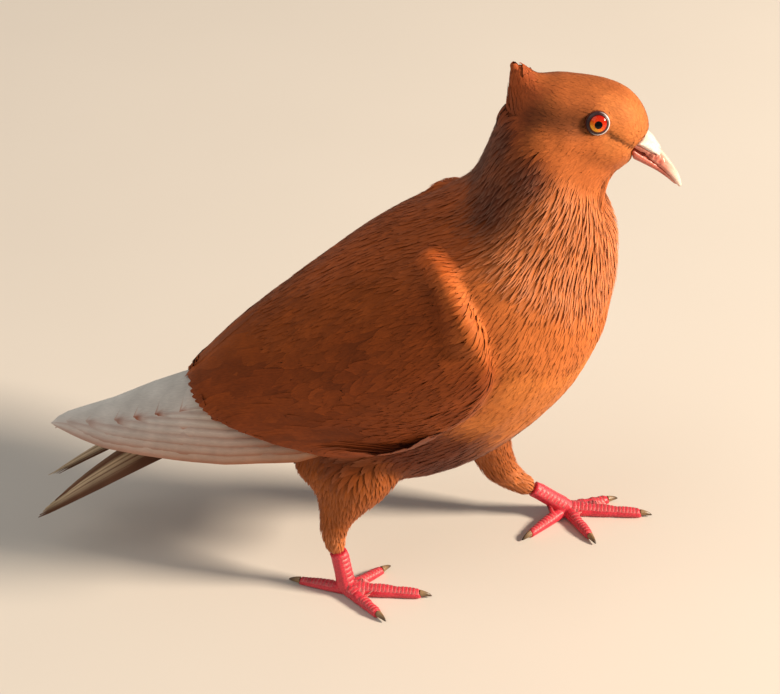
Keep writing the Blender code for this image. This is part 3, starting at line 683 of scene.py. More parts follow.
def feather_tints(spine, columns, rng, soft, width):
    """Tints over each vane: one random tone per feather, deeper towards the root (its own darker base and
    painted shade) and paler at the rim, with a painted sheen on crisp tips.
    """
    count, rows, _ = spine.shape
    crisp = 1.0 - soft
    broad = ramp(width, 2.5, 4.0)
    shade = rng.normal(0.0, 1.0, count).clip(-SHADE_SPREAD, SHADE_SPREAD)
    shade = 1.0 + shade * (0.04 + 0.12 * crisp + 0.05 * broad)
    # Deeper at the root and paler at the tip: partly the feathers' own darker bases, partly painted shade
    # where the feathers over them cover them.
    base = 1.0 - 0.55 * crisp - 0.12 * broad
    tip = 1.04 + 0.20 * crisp + 0.06 * broad
    along = base[:, None] + (tip - base)[:, None] * row_spots(rows)[None] ** 0.8
    # The folds' painted shade and painted light.
    along *= fold_shade_and_light(spine.reshape(-1, 3)).reshape(count, rows)
    rim = (0.03 + 0.10 * crisp + 0.12 * broad)[:, None] * np.abs(np.linspace(-1, 1, columns))[None] ** 3
    tint = colour_at(spine[:, 0])[:, None, None] * shade[:, None, None, None]
    tint = tint * along[:, :, None, None] * (1.0 + rim[:, None, :, None])
    # A painted sheen: crisp feathers' tips paled towards a pinkish white.
    tip_sheen = np.clip(crisp - 0.2, 0.0, 0.4)[:, None] * row_spots(rows)[None] ** 3 * TIP_SHEEN
    return tint + (paint(SHEEN_COLOUR) - tint) * tip_sheen[:, :, None, None]


def bake_spots(surface, points):
    """Where points' nearest places lie on the skin's unwrap."""
    return surface.uv[surface.nearest(points)[2]]


# ---------------- materials


def add_node(tree, kind, links=(), **settings):
    """Adds one node. links are (its input, the output that feeds it)."""
    node = tree.nodes.new(kind)
    for key, value in settings.items():
        if key in node.inputs:
            node.inputs[key].default_value = value
        else:
            setattr(node, key, value)
    for socket, output in links:
        tree.links.new(output, node.inputs[socket])
    return node


def new_material(name, **settings):
    """A material with its Principled shader set, its tree and the place on the object to draw by."""
    material = bpy.data.materials.new(name)
    material.use_nodes = True
    tree = material.node_tree
    shader = tree.nodes["Principled BSDF"]
    for key, value in settings.items():
        shader.inputs[key.replace("_", " ")].default_value = value
    return material, tree, shader, add_node(tree, "ShaderNodeTexCoord").outputs["Object"]


def noise(tree, place, scale, detail, **settings):
    settings = {"Scale": scale, "Detail": detail, **settings}
    return add_node(tree, "ShaderNodeTexNoise", [("Vector", place)], **settings).outputs["Fac"]


def stretched(tree, place, scale):
    return add_node(tree, "ShaderNodeMapping", [("Vector", place)], Scale=scale).outputs["Vector"]


def factors(tree, value, low, high, start=0.3, end=0.7):
    """A texture's values from start to end as factors from low to high."""
    span = {"From Min": start, "From Max": end, "To Min": low, "To Max": high}
    return add_node(tree, "ShaderNodeMapRange", [("Value", value)], **span).outputs["Result"]


def dress(tree, shader, factor, height, strength, depth, invert=False):
    """Colours the shader with the Tint times a factor, and roughens it by a height (depth in metres)."""
    tint = add_node(tree, "ShaderNodeAttribute", attribute_name="Tint").outputs["Color"]
    colour = add_node(tree, "ShaderNodeVectorMath", [(0, tint), ("Scale", factor)], operation="SCALE")
    settings = {"Strength": strength, "Distance": depth, "invert": invert}
    bump = add_node(tree, "ShaderNodeBump", [("Height", height)], **settings)
    tree.links.new(colour.outputs["Vector"], shader.inputs["Base Color"])
    tree.links.new(bump.outputs["Normal"], shader.inputs["Normal"])


def feather_vane(name, darkest, brightest):
    """Barbed feather vane: matt keratin with fine barbs and a soft silky sheen at grazing light."""
    looks = {"Roughness": 0.66, "Specular_IOR_Level": 0.17, "Sheen_Weight": 0.03, "Sheen_Roughness": 0.45}
    material, tree, shader, place = new_material(name, **looks)
    vane = add_node(tree, "ShaderNodeUVMap", uv_map="Vane").outputs["UV"]
    # Real barbs lie about 0.15 mm apart; drawn three times as coarse so that they show.
    barbs = noise(tree, stretched(tree, vane, (2.4, 0.35, 1.0)), 1.0, 3.0, Roughness=0.6)
    # Broad cloudiness of the pigment, patches about 9 mm across.
    cloud = factors(tree, noise(tree, place, 110.0, 2.0), 0.90, 1.10)
    both = [(0, factors(tree, barbs, darkest, brightest)), (1, cloud)]
    factor = add_node(tree, "ShaderNodeMath", both, operation="MULTIPLY").outputs["Value"]
    dress(tree, shader, factor, barbs, 0.35, 0.0001)
    return material


def skin_under_feathers():
    """Down-covered skin under the feathers: the coat's own colour, deeper (partly the down's own colour and
    partly painted shade), seen in the coat's gaps.
    """
    material, tree, shader, place = new_material("downy_skin", Roughness=0.85, Specular_IOR_Level=0.15)
    fuzz = noise(tree, place, 900.0, 3.0)
    dress(tree, shader, factors(tree, fuzz, 0.75, 1.05), fuzz, 0.5, 0.0003)
    return material


def bare_leg_skin():
    """Living scaly leg skin: waxy crimson with a paler pink in the folds and a light wet gloss."""
    looks = {"Subsurface_Weight": 0.12, "Subsurface_Scale": 0.002, "Subsurface_Radius": (1.0, 0.25, 0.2)}
    looks.update(Roughness=0.42, Specular_IOR_Level=0.5)
    material, tree, shader, place = new_material("leg_skin_crimson", **looks)
    # Granular skin between the plates, grains about 0.6 mm.
    cells = {"Scale": 1600.0, "feature": "SMOOTH_F1"}
    grain = add_node(tree, "ShaderNodeTexVoronoi", [("Vector", place)], **cells).outputs["Distance"]
    dress(tree, shader, factors(tree, grain, 1.12, 0.78, 0.1, 0.7), grain, 0.4, 0.0002, invert=True)
    return material


def lid_finish():
    """Bare eyelid skin: thin, finely wrinkled in rings, pale and slightly moist."""
    material, tree, shader, place = new_material("bare_eyelid_skin", Roughness=0.38, Specular_IOR_Level=0.5)
    wrinkle = noise(tree, place, 1800.0, 3.0)
    dress(tree, shader, factors(tree, wrinkle, 0.82, 1.12), wrinkle, 0.5, 0.00015)
    return material


def horn_finish(name, roughness, grains):
    """Horn over living tissue: smooth, faintly ridged, a little light passing through it."""
    looks = {"Subsurface_Weight": 0.15, "Subsurface_Scale": 0.0015, "Subsurface_Radius": (1.0, 0.4, 0.3)}
    looks.update(Roughness=roughness, Specular_IOR_Level=0.5)
    material, tree, shader, place = new_material(name, **looks)
    grain = noise(tree, stretched(tree, place, (0.35, 1.0, 1.0)), grains, 4.0)
    dress(tree, shader, factors(tree, grain, 0.88, 1.10), grain, 0.35, 0.0002)
    return material


# ---------------- the body coat

EYE_CLEAR = 4.2  # no feather is rooted closer than this to an eye's axis
STRAY = 0.9  # how far over its depth a feather's tip may stand off the skin
SWAY, ROLL = 0.22, 0.22  # how unevenly feathers lie: aside, in widths, and turned, in radians
UNEVEN = (0.85, 1.15)  # the least and the most of a feather's usual length and width
FLAT_CAMBER, CRISP_CAMBER = 0.02, 0.32  # a soft feather's dome, and how much more a crisp one has
VANE_SHIFT = 50  # how far each feather's barbs are shifted in their pattern, so that no two are alike
CREST_FRONT, CREST_LOW = 31, 214  # the crest's feathers root behind the one and over the other
CREST_TOP = 224.8
CREST_SHOULDER = (19.5, 5.0, 0.75)  # where the crest's edge starts to fall, for how far, and how steeply
CREST_BRIM = 23.0  # further forward than this, no feather is cut shorter than SHORT_ON_CREST
SHORT_ON_CREST, SHORTEST_ON_CREST = 3.4, 2.2
# Feathers by length: from and up to how long, and the rows and columns of their grids.
GRIDS = ((0, 6.0, 5, 3), (6.0, 13.5, 6, 5), (13.5, 99, 8, 7))
# The folded wing's outline from the side, x and z.
WING_OUTLINE = (
    (-10, 159), (5.5, 148), (15.6, 128), (15.2, 116), (8.6, 102.5), (-4, 91), (-18, 82.4), (-36, 77.4),
    (-58, 75.6), (-77, 78.2), (-91, 81.8), (-102, 86), (-110, 91), (-101, 102), (-80, 124), (-54, 146),
    (-32, 156),
)


def clear_of_eyes(points):
    """Which roots lie off the eyes and their lids."""
    ok = np.ones(len(points), dtype=bool)
    for side in (-1, 1):
        centre, look = eye_axis(side)
        out = points - centre
        ahead = out @ look
        ok &= (np.linalg.norm(out - ahead[:, None] * look, axis=1) > EYE_CLEAR) | (ahead < 0)
    return ok


def on_wing(points):
    """Roots on the folded wing, by its outline from the side."""
    x, _, z = points.T
    inside = np.zeros(len(points), dtype=bool)
    outline = np.array(WING_OUTLINE)
    for (x1, z1), (x2, z2) in zip(outline, np.roll(outline, -1, axis=0)):
        inside ^= ((z1 > z) != (z2 > z)) & (x < (x2 - x1) * (z - z1) / (z2 - z1) + x1)
    return inside


def coat_region(points):
    """Which piece of the coat a root belongs to, by borders in table millimetres."""
    x, y, z = points.T
    names = np.where(y > 0, "coat_breast_left", "coat_breast_right").astype(object)
    wing = (np.abs(y) > 3) & (z > 74) & (x < 16) & on_wing(points)
    names[(x < -15) | (z > 150) & (x < 5)] = "coat_back"
    names[(z < 60) & ((x < -22) & (x > -64) & (np.abs(y) > 12))] = "coat_legs"
    names[(z < 60) & (x > -5) & (y > 12)] = "coat_legs"
    names[wing & (y > 0)] = "coat_wing_left"
    names[wing & (y < 0)] = "coat_wing_right"
    neck = (z > 120 + 0.55 * (55 - x)) & (x > -2)
    names[neck & ~wing & (y > 0)] = "coat_neck_left"
    names[neck & ~wing & (y <= 0)] = "coat_neck_right"
    names[(z > 181) & (x > 22) & (z > 205 - (x - 22) * 0.8)] = "coat_head"
    return names


def fit_on_crest(roots, length):
    """The feathers' lengths, cut where they would stand over the crest's edge."""
    start, stretch, slope = CREST_SHOULDER
    room = CREST_TOP - slope * np.clip(roots[:, 0] - start, 0, stretch) - roots[:, 2]
    room = np.where(roots[:, 0] > CREST_BRIM, np.maximum(room, SHORT_ON_CREST), room)
    on_crest = (roots[:, 0] < CREST_FRONT) & (roots[:, 2] > CREST_LOW)
    length = np.where(on_crest, np.minimum(length, room), length)
    return length, length > np.where(on_crest, SHORTEST_ON_CREST, 0.0)


def jitter(spine, ups, width, soft, rng):
    """Small turns to each side, so that the feathers don't lie like tiles."""
    side = unit(np.cross(ups[:, 0], unit(spine[:, -1] - spine[:, 0])))
    sway = rng.normal(0.0, SWAY, len(spine)) * width
    spine = spine + side[:, None] * (sway[:, None] * row_spots(spine.shape[1]) ** 1.5)[..., None]
    roll = rng.normal(0.0, ROLL, len(spine)) * (1 - soft)
    return spine, unit(ups + side[:, None] * roll[:, None, None])


def grow_coat(surface, rng, material):
    """All the small feathers, in pieces by part of the body."""
    roots, faces = root_points(surface, rng)
    keep = clear_of_eyes(roots)
    roots, faces = roots[keep], faces[keep]
    sizes = sizes_at(roots)
    length = sizes[:, LENGTH] * rng.uniform(*UNEVEN, len(roots))
    width = sizes[:, WIDTH] * rng.uniform(*UNEVEN, len(roots))
    length, fits = fit_on_crest(roots, length)
    roots, faces, sizes, length, width = (values[fits] for values in (roots, faces, sizes, length, width))
    regions = coat_region(roots)
    for name in sorted(set(regions)):
        batches = []
        for low, high, rows, columns in GRIDS:
            group = np.flatnonzero((regions == name) & (length >= low) & (length < high))
            if len(group) == 0:
                continue
            depth, soft = sizes[group, DEPTH], sizes[group, SOFT]
            spine, ups = trace(surface, roots[group], length[group], depth, soft, rows)
            places = surface.nearest(spine[:, -1])[0]
            close = np.linalg.norm(spine[:, -1] - places, axis=1) < depth + STRAY
            if "wing" in name:
                close &= on_wing(spine[:, -1])
            group, spine, ups, soft = group[close], spine[close], ups[close], soft[close]
            spine, ups = jitter(spine, ups, width[group], soft, rng)
            camber = FLAT_CAMBER + CRISP_CAMBER * (1 - soft)
            pointed = sizes[group, POINTED]
            shape = {"camber": camber, "soft": soft}
            grid, shade, vane = vane_grid(spine, ups, width[group], pointed, columns, rng, **shape)
            vane = vane + rng.uniform(0, VANE_SHIFT, (len(group), 1, 1, 2))
            tint = feather_tints(spine, columns, rng, soft, width[group])
            batches.append((grid, shade, vane, tint, surface.uv[faces[group]]))
        closed_grids(name, batches, material, "plumage")


# ---------------- crest

# The upturned tuft that ends the crest: its middle line (x, z) and its radii along and across.
TUFT_RINGS = (
    (22, 219.6, 4, 3.8), (20.5, 222.2, 2.8, 2.6), (19.4, 224, 1.7, 1.9), (18.9, 225.4, 1.4, 1.6),
    (18.8, 226.4, 0.6, 0.7),
)
TUFT_FEATHERS = 170
TUFT_HOLLOW = 0.5  # how far round from straight ahead the tuft's open, shaded front reaches, in radians
TUFT_SOFT = 0.8  # how pointed its feathers are, and how far their shading melts together
# Where up the tuft its feathers start at most, how far up they reach, how wide they are, and how far
# they look upwards.
TUFT_START, TUFT_REACH, TUFT_WIDTHS, TUFT_UP = 0.6, (0.34, 0.40), (1.1, 1.7), 0.25


def grow_crest(surface, rng, material):
    """The tuft at the crest's end: feathers standing in a ring that is open in front."""
    rows, columns = 6, 3
    start = TUFT_START * rng.random(TUFT_FEATHERS) ** 0.6
    reach = rng.uniform(*TUFT_REACH, TUFT_FEATHERS)
    angle = rng.uniform(TUFT_HOLLOW, 2 * math.pi - TUFT_HOLLOW, TUFT_FEATHERS)
    share = start[:, None] + reach[:, None] * row_spots(rows)[None]
    x, z, radius_x, radius_y = np.moveaxis(through(TUFT_RINGS, share), -1, 0)
    spine = np.stack([x + np.cos(angle)[:, None] * radius_x, np.sin(angle)[:, None] * radius_y, z], -1)
    out = np.stack([np.cos(angle), np.sin(angle), np.full_like(angle, TUFT_UP)], -1)
    ups = np.repeat(unit(out)[:, None], rows, axis=1)
    width = rng.uniform(*TUFT_WIDTHS, TUFT_FEATHERS)
    soft = np.full(TUFT_FEATHERS, TUFT_SOFT)
    grid, shade, vane = vane_grid(spine, ups, width, soft, columns, rng)
    tint = feather_tints(spine, columns, rng, soft, width)
    batch = (grid, shade, vane, tint, bake_spots(surface, spine[:, 0]))
    closed_grids("crest_tuft", [batch], material, "plumage")


# ---------------- flight and tail feathers

# The right wing's folded flight feathers: x, y and z of the blade's inner edge, y and z of its outer one.
BLADE = (
    (-34, -6, 97, -35, 84), (-48, -4, 97, -37, 76), (-58, -2, 96, -36.4, 71.4),
    (-70, -0.8, 93, -33.6, 68.2), (-86, -0.8, 89.8, -31.4, 64.6), (-104, 1.2, 86.4, -27.8, 62.4),
    (-120, 4.2, 77.4, -23.4, 60.6), (-138, 6, 66.8, -17.4, 58.4), (-150, 6, 61.9, -12, 57.8),
    (-158.6, 4.6, 59.6, -7.4, 57.2), (-163.4, 2.4, 57.8, -5, 56.8),
)
# The left one is its mirror image, tucked under it: its inner edge, and how far it lies lower at its
# root and at its tip.
LEFT_BLADE_INNER_Y = -2.0
LEFT_BLADE_DROP = (1.5, 6.0)
# The primaries, the outermost and longest first: where each one's tip lies, and how far up the blade its
# lower edge runs, as a share of the blade's width.
PRIMARY_TIPS = (-163.0, -156.5, -148.0, -135.4, -127.0, -117.6, -107.0, -97.0)
PRIMARY_LIES = (0.0, 0.07, 0.15, 0.235, 0.32, 0.40, 0.50, 0.60)
TIP_LIE = 0.52
LONGEST_BLUNT, TIP_BLUNT = 34.0, 9.0  # the higher, the broader a primary stays up to its tip
WEB_SPLIT = 0.2  # where the shaft lies across a primary
SHAFT_UP = 0.09  # how far the shaft lies over the feather's lower edge at its root
WEB_COLUMNS = (0.0, 0.035, 0.075, 0.13, 0.2, 0.27, 0.4, 0.55, 0.7, 0.85, 0.95, 1.0)
PALE_WEB, ROSY_WEB, CREAM_WEB, RUST_EDGE = "#EEECE6", "#BA7642", "#E6D2B4", "#A8501C"
TAIL_PALE, TAIL_BROWN = "#E2CCA8", "#62361F"
# The tail from root to tip: x, height and half width.
TAIL = (
    (-86, 69, 13), (-100, 62.4, 15.4), (-112, 55.4, 16.2), (-126, 46.4, 16.6), (-142, 36, 16.6),
    (-154, 28.4, 16.2), (-164, 21.8, 15.4), (-170, 18, 14.4),
)
# The tail feathers, two stacks: for each feather of the right and then the left stack, how far off the
# midline it lies at its middle and at its tip, how high it lies, its width, how brown it is, and where
# its tip lies.
TAIL_STACKS = (
    (-1, (
        (-3, 9, 2.2, 9, 0.85, -163), (-0.5, 10, 1.8, 9, 0.2, -165), (3, 11, 1.4, 9, 0.05, -167),
        (6.5, 12, 0.9, 9, 0.3, -168), (9.5, 12.8, 0.3, 9, 0.65, -169), (12, 13.4, -0.4, 8, 0.85, -170),
    )),
    (1, (
        (9, 11.8, 2.8, 8, 0.95, -166), (10.2, 12.6, 3.2, 8, 0.75, -167), (11.4, 13.2, 3.6, 8, 0.45, -168),
        (12.6, 13.8, 3.8, 8, 0.25, -169), (13.6, 14.2, 3.6, 8, 0.15, -170),
        (14.6, 14.6, 3.2, 7, 0.25, -170.5),
    )),
)
TAIL_ROOT = -80.0
# The rear and lower edge of the folded wing, where the tips of the secondaries lie: x, z, the slope of
# the feather in degrees and its length.
SECONDARY_TIPS = (
    (-105, 94, 44, 40), (-104.5, 90.5, 37, 46), (-102, 87.5, 30, 50), (-97, 85.2, 23, 54),
    (-90, 83.2, 17, 56), (-82, 81.4, 12, 56), (-73, 80, 8.5, 54), (-63, 79, 5.5, 52),
    (-53, 78.6, 2.5, 48), (-43, 79, -1, 42), (-33, 80.2, -5, 36), (-23, 82.8, -11, 30),
)
SECONDARIES = 42
SECONDARY_WIDTH = 10.0
FAR_ASIDE, WING_ASIDE = 90.0, 44.0  # well outside the wing, and about where its side lies
SIDE_TRIES, SIDE_STEP = 40, 0.5  # where the wing is missed, how often and how much lower it is sought
TIP_OVERHANG = 1.7


def grow_primaries(surface, side, rng, material):
    """Flight feathers folded to a blade: the outermost lowest and longest, all reaching its top."""
    rows, columns = 22, len(WEB_COLUMNS)
    number = np.arange(len(PRIMARY_TIPS))[:, None, None]
    tips = np.array(PRIMARY_TIPS)[:, None, None]
    low = np.array(PRIMARY_LIES)[:, None, None]
    across = np.array(WEB_COLUMNS)[None, None, :]
    along = row_spots(rows)[None, :, None]
    root = BLADE[0][0]
    x = np.broadcast_to(root + (tips - root) * along, (len(tips), rows, columns))
    inner_y, inner_z, outer_y, outer_z = np.moveaxis(table_at(BLADE, x), -1, 0)
    if side > 0:
        drop = np.interp(-x, (-BLADE[3][0], -BLADE[-1][0]), LEFT_BLADE_DROP)
        inner_y, inner_z, outer_z = np.minimum(inner_y, LEFT_BLADE_INNER_Y), inner_z - drop, outer_z - drop
    shaft = low + SHAFT_UP + (TIP_LIE - low - SHAFT_UP) * along**5
    web = across < WEB_SPLIT
    outer_web = (across - WEB_SPLIT) / WEB_SPLIT * (shaft - low) * (1 - along**9) ** 0.5
    blunt = np.where(number < 1, LONGEST_BLUNT, TIP_BLUNT)
    inner_web = (across - WEB_SPLIT) / (1 - WEB_SPLIT) * (1.0 - shaft) * (1 - along**blunt) ** 0.5
    lies = shaft + np.where(web, outer_web, inner_web)
    outer = np.stack([x, outer_y, outer_z], -1)
    run = np.stack([x, inner_y, inner_z], -1) - outer
    normal = unit(np.stack([np.zeros_like(x), -run[..., 2], run[..., 1]], -1))
    # Each feather is domed, lies over the one outside it, and has a lower edge that turns down.
    crown = 1.4 * np.sin(np.pi * np.clip(lies, 0, 1)) * np.clip((x + 163.6) / 60, 0, 1)
    turned = 0.35 * np.clip(1 - across / WEB_SPLIT, 0, 1) ** 2
    lift = crown + 0.1 + 0.34 * number * (1 - 0.5 * along) - turned
    grid = outer + run * lies[..., None] + normal * lift[..., None]
    ridge = np.where(web, -0.5 * (1 - across / WEB_SPLIT), 0.15)
    shade = normal + unit(run) * (0.25 * (2 * lies - 1) + ridge)[..., None]
    for array in (grid, shade):
        array[..., 1] *= -side
    length = np.abs(tips - root)
    vane = np.stack(np.broadcast_arrays((lies - shaft) * 30.0, length * along + number * 9.0), -1)
    # Pale webs, rosier low on the blade and creamy near the wing, with rust edges, tips and shafts.
    tone = 1.0 - 0.95 * np.clip(1 - lies, 0, 1) ** 1.4 * (1 - 0.55 * along)
    body = mix(paint(ROSY_WEB), paint(PALE_WEB), tone)
    cream = ramp(lies, 0.3, 0.2) * ramp(x, -104, 22) * 0.8
    body = body + (paint(CREAM_WEB) - body) * cream[..., None]
    line = np.clip(1.2 - across / 0.08, 0, 1) * (0.66 + 0.05 * number) * (1 - 0.3 * along)
    shaft_line = np.clip(1 - np.abs(across - WEB_SPLIT) / 0.05, 0, 1) * 0.30
    rim = ramp(along, 0.94, 0.035) * np.clip((TIP_LIE + 0.05 - lies) / 0.06, 0, 1)
    rim = rim * np.clip(0.22 * number, 0, 1)
    edge = np.clip(np.maximum(np.maximum(line, rim), shaft_line), 0, 0.9)[..., None]
    body = body * (1 - edge) + paint(RUST_EDGE) * edge
    body = body * (1 + rng.normal(0, 0.03, (len(tips), 1, 1)))[..., None]
    if side < 0:
        grid, shade, vane, body = (array[:, :, ::-1] for array in (grid, shade, vane, body))
    batch = (grid, unit(shade), vane, body, bake_spots(surface, grid[:, 0, columns // 2]))
    name = f"{side_name(side)}_primaries"
    closed_grids(f"{name}_feathers", [batch], material, "pale_feathers", name)


def grow_tail(surface, rng, material):
    """Twelve tail feathers in two stacks, one to each side of a narrow dark gap."""
    rows, columns = 18, 9
    spots = row_spots(rows)
    spines, ups, tints, widths = [], [], [], []
    for side, feathers in TAIL_STACKS:
        for middle, end, rise, width, brown, tip in feathers:
            x = TAIL_ROOT + (tip - TAIL_ROOT) * spots
            z, half = table_at(TAIL, x).T
            place = middle + (end - middle) * spots**4
            arch = rise + 1.5 * np.sin(np.pi * spots) - 1.6 * spots**3
            spread = half / TAIL[3][2]
            spines.append(np.stack([x, side * place * spread, z + arch], -1))
            ups.append(np.repeat(unit(np.array([[-0.5, side * 0.10, 1.0]])), rows, 0))
            widths.append(width * (0.75 + 0.25 * spread))
            across = np.linspace(-1, 1, columns)[None] * -side
            shaft = np.clip(1 - np.abs(across) / 0.26, 0, 1) * 0.7
            base_brown = np.clip(1.0 - 1.7 * spots, 0, 1)[:, None]
            share = np.clip(brown + shaft + ramp(across, 0.1, 0.6) * 0.35 + base_brown, 0, 0.95)
            tints.append(mix(paint(TAIL_PALE), paint(TAIL_BROWN), share))
    spine, up, width = np.array(spines), np.array(ups), np.array(widths)
    pointed = np.full(len(spine), 0.62)
    shape = {"camber": 0.10, "ragged": 0.004, "root_share": 0.8}
    grid, shade, vane = vane_grid(spine, up, width, pointed, columns, rng, **shape)
    batch = (grid, shade, vane, np.array(tints), bake_spots(surface, spine[:, 0]))
    closed_grids("tail_feathers", [batch], material, "tail_feathers", "tail")


def wing_tree(node):
    """A tree of the wing as it was built, whose outline reaches as far as the feathers do."""
    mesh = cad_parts[node].data
    mesh.calc_loop_triangles()
    triangles = [tuple(triangle.vertices) for triangle in mesh.loop_triangles]
    return BVHTree.FromPolygons(to_table(coordinates(mesh)).tolist(), triangles)


def side_spine(surface, tree, side, x, z, lift):
    """A spine laid on the wing's side from root to tip: each spot aside of, or just under, its x and z."""
    points = []
    for spot_x, spot_z in zip(x, z):
        place = None
        for lower in range(SIDE_TRIES):
            start = (spot_x, side * FAR_ASIDE, spot_z - SIDE_STEP * lower)
            place = tree.ray_cast(start, (0, -side, 0))[0]
            if place is not None:
                break
        if place is None:
            place = tree.find_nearest((spot_x, points[-1][1] if points else side * WING_ASIDE, spot_z))[0]
        points.append(list(place))
    points = np.array(points)
    for _ in range(2):
        points[1:-1] = (points[:-2] + points[1:-1] * 2 + points[2:]) / 4
    ups = surface.nearest(points)[1]
    end = unit(points[-1] - points[-3]) * TIP_OVERHANG
    return points + ups * lift[:, None] + row_spots(len(points))[:, None] ** 5 * end, ups


def grow_secondaries(surface, side, rng, material):
    """The long feathers of the arm, laid along the wing's lower and rear edge."""
    rows, columns = 14, 9
    name = side_name(side)
    tree = wing_tree(f"{name}_wing")
    spots = row_spots(rows)
    spines, ups = [], []
    tips = through(SECONDARY_TIPS, np.linspace(0, 1, SECONDARIES))
    for number, (tip_x, tip_z, slope, length) in enumerate(tips):
        turn = math.radians(slope)
        bend = 0.03 * length * np.sin(np.pi * (1 - spots))
        x = tip_x + math.cos(turn) * length * (1 - spots) - math.sin(turn) * bend
        z = tip_z + math.sin(turn) * length * (1 - spots) + math.cos(turn) * bend
        rise = -1.7 + 2.0 * spots**0.5 + 0.02 * (SECONDARIES - number)
        spine, up = side_spine(surface, tree, side, x, z, rise)
        spines.append(spine)
        ups.append(up)
    spine, up = np.array(spines), unit(np.array(ups))
    widths = SECONDARY_WIDTH * rng.uniform(0.95, 1.05, SECONDARIES)
    pointed, soft = np.full(SECONDARIES, 0.10), np.full(SECONDARIES, 0.85)
    shape = {"camber": 0.10, "ragged": 0.006, "root_share": 0.7}
    grid, shade, vane = vane_grid(spine, up, widths, pointed, columns, rng, **shape)
    tint = feather_tints(spine, columns, rng, soft, widths)
    batch = (grid, shade, vane, tint, bake_spots(surface, spine[:, 0]))
    closed_grids(f"{name}_wing_long_feathers", [batch], material, "plumage")


# ---------------- eyes

EYE_RADIUS = 5.2
PUPIL, IRIS = 1.4, 3.1
PUPIL_LOW = 0.35  # how far under the iris's middle the pupil lies
CORNEA_BULGE = 1.06
EYE_UV_SPAN = 20.0  # millimetres across the eye's own UV map
RAMP_SPAN = 4.0  # how far from the axis, in millimetres, the eye's colour ramps reach
PUPIL_BLUR = 0.06
# The iris from its dark upper front to its yellow lower rear, then what darkens it by the distance from
# its middle: the rim of the iris, and the pupil.
IRIS_COLOURS = ((0.20, "#B01E08"), (0.52, "#E03E0C"), (0.74, "#F0780F"), (0.95, "#FBBE2E"))
IRIS_RINGS = ((0.0, "#FFFFFF"), (0.68, "#FFFFFF"), (0.76, "#7A1A0C"), (0.80, "#160806"))
PUPIL_RINGS = (
    (0.0, "#000000"), ((PUPIL - PUPIL_BLUR) / RAMP_SPAN, "#000000"),
    ((PUPIL + PUPIL_BLUR) / RAMP_SPAN, "#FFFFFF"),
)
REAR_SHIFT = 9.0  # moves the eyeball's rear half off the iris's drawing
# The lids' pale edge carries a painted highlight, brightest in front and below, by each eye's own axes.
LID_BRIGHT_TURNS = {-1: math.radians(-25), 1: math.radians(205)}
# The lids as a ring round the eye: distance from the eye's axis and height over the eyeball.
LID_PROFILE = (
    (3.1, 0.02), (3.2, 0.16), (3.4, 0.24), (3.7, 0.2), (3.9, 0.3), (4.05, 0.4), (4.2, 0.34), (4.45, 0.05),
    (4.8, -0.4), (4.9, -1.4), (3.4, -1),
)
LID_DARK, LID_PALE, LID_RIM = "#34161A", "#FBEFF0", "#7A3A24"


def eye_frame(side):
    """The eye's centre in metres and the turn that lays its axis on the z axis's place."""
    centre, look = (Vector(values) for values in eye_axis(side))
    up = (Vector((0, 0, 1)) - look * look.z).normalized()
    turn = Matrix((up.cross(look), up, look)).transposed().to_4x4()
    return Matrix.Translation(ZERO + centre * MM) @ turn


def vector_step(tree, operation, source, other=None):
    """A vector calculation on one output, with a constant second vector."""
    step = add_node(tree, "ShaderNodeVectorMath", [(0, source)], operation=operation)
    if other:
        step.inputs[1].default_value = other
    return step


def colour_ramp(tree, value, colours):
    """A colour ramp read at a value, its stops given as (position, hex)."""
    node = add_node(tree, "ShaderNodeValToRGB", [("Fac", value)])
    elements = node.color_ramp.elements
    while len(elements) < len(colours):
        elements.new(1.0)
    for element, (position, code) in zip(elements, colours):
        element.position = position
        element.color = linear(code)
    return node.outputs["Color"]


def ring_ramp(tree, spot, colours):
    """A colour ramp read by the distance from the eye's axis."""
    reach = vector_step(tree, "LENGTH", spot).outputs["Value"]
    share = add_node(tree, "ShaderNodeMath", [(0, reach)], operation="MULTIPLY")
    share.inputs[1].default_value = EYE_UV_SPAN / RAMP_SPAN
    return colour_ramp(tree, share.outputs["Value"], colours)


def eyeball_finish():
    """Wet eye: orange-red streaked iris, black pupil and a glassy clear surface."""
    looks = {"Roughness": 0.10, "Specular_IOR_Level": 0.20, "Coat_Weight": 0.12, "Coat_Roughness": 0.03}
    material, tree, shader, _ = new_material("wet_eye", **looks)
    flat = add_node(tree, "ShaderNodeUVMap", uv_map="Iris").outputs["UV"]
    spot = vector_step(tree, "SUBTRACT", flat, (0.5, 0.5, 0.0)).outputs["Vector"]
    low = vector_step(tree, "ADD", spot, (0.0, PUPIL_LOW / EYE_UV_SPAN, 0.0)).outputs["Vector"]
    streak = noise(tree, spot, 60.0, 4.0, Distortion=0.6)
    # Yellow low and behind, deep red above and in front.
    warm = vector_step(tree, "DOT_PRODUCT", spot, (-2.2, -2.6, 0.0)).outputs["Value"]
    slant = add_node(tree, "ShaderNodeMath", [(0, warm), (1, streak)], operation="ADD").outputs["Value"]
    colour = colour_ramp(tree, slant, IRIS_COLOURS)
    for middle, rings in ((spot, IRIS_RINGS), (low, PUPIL_RINGS)):
        both = [(0, colour), (1, ring_ramp(tree, middle, rings))]
        colour = add_node(tree, "ShaderNodeVectorMath", both, operation="MULTIPLY").outputs["Vector"]
    tree.links.new(colour, shader.inputs["Base Color"])
    return material


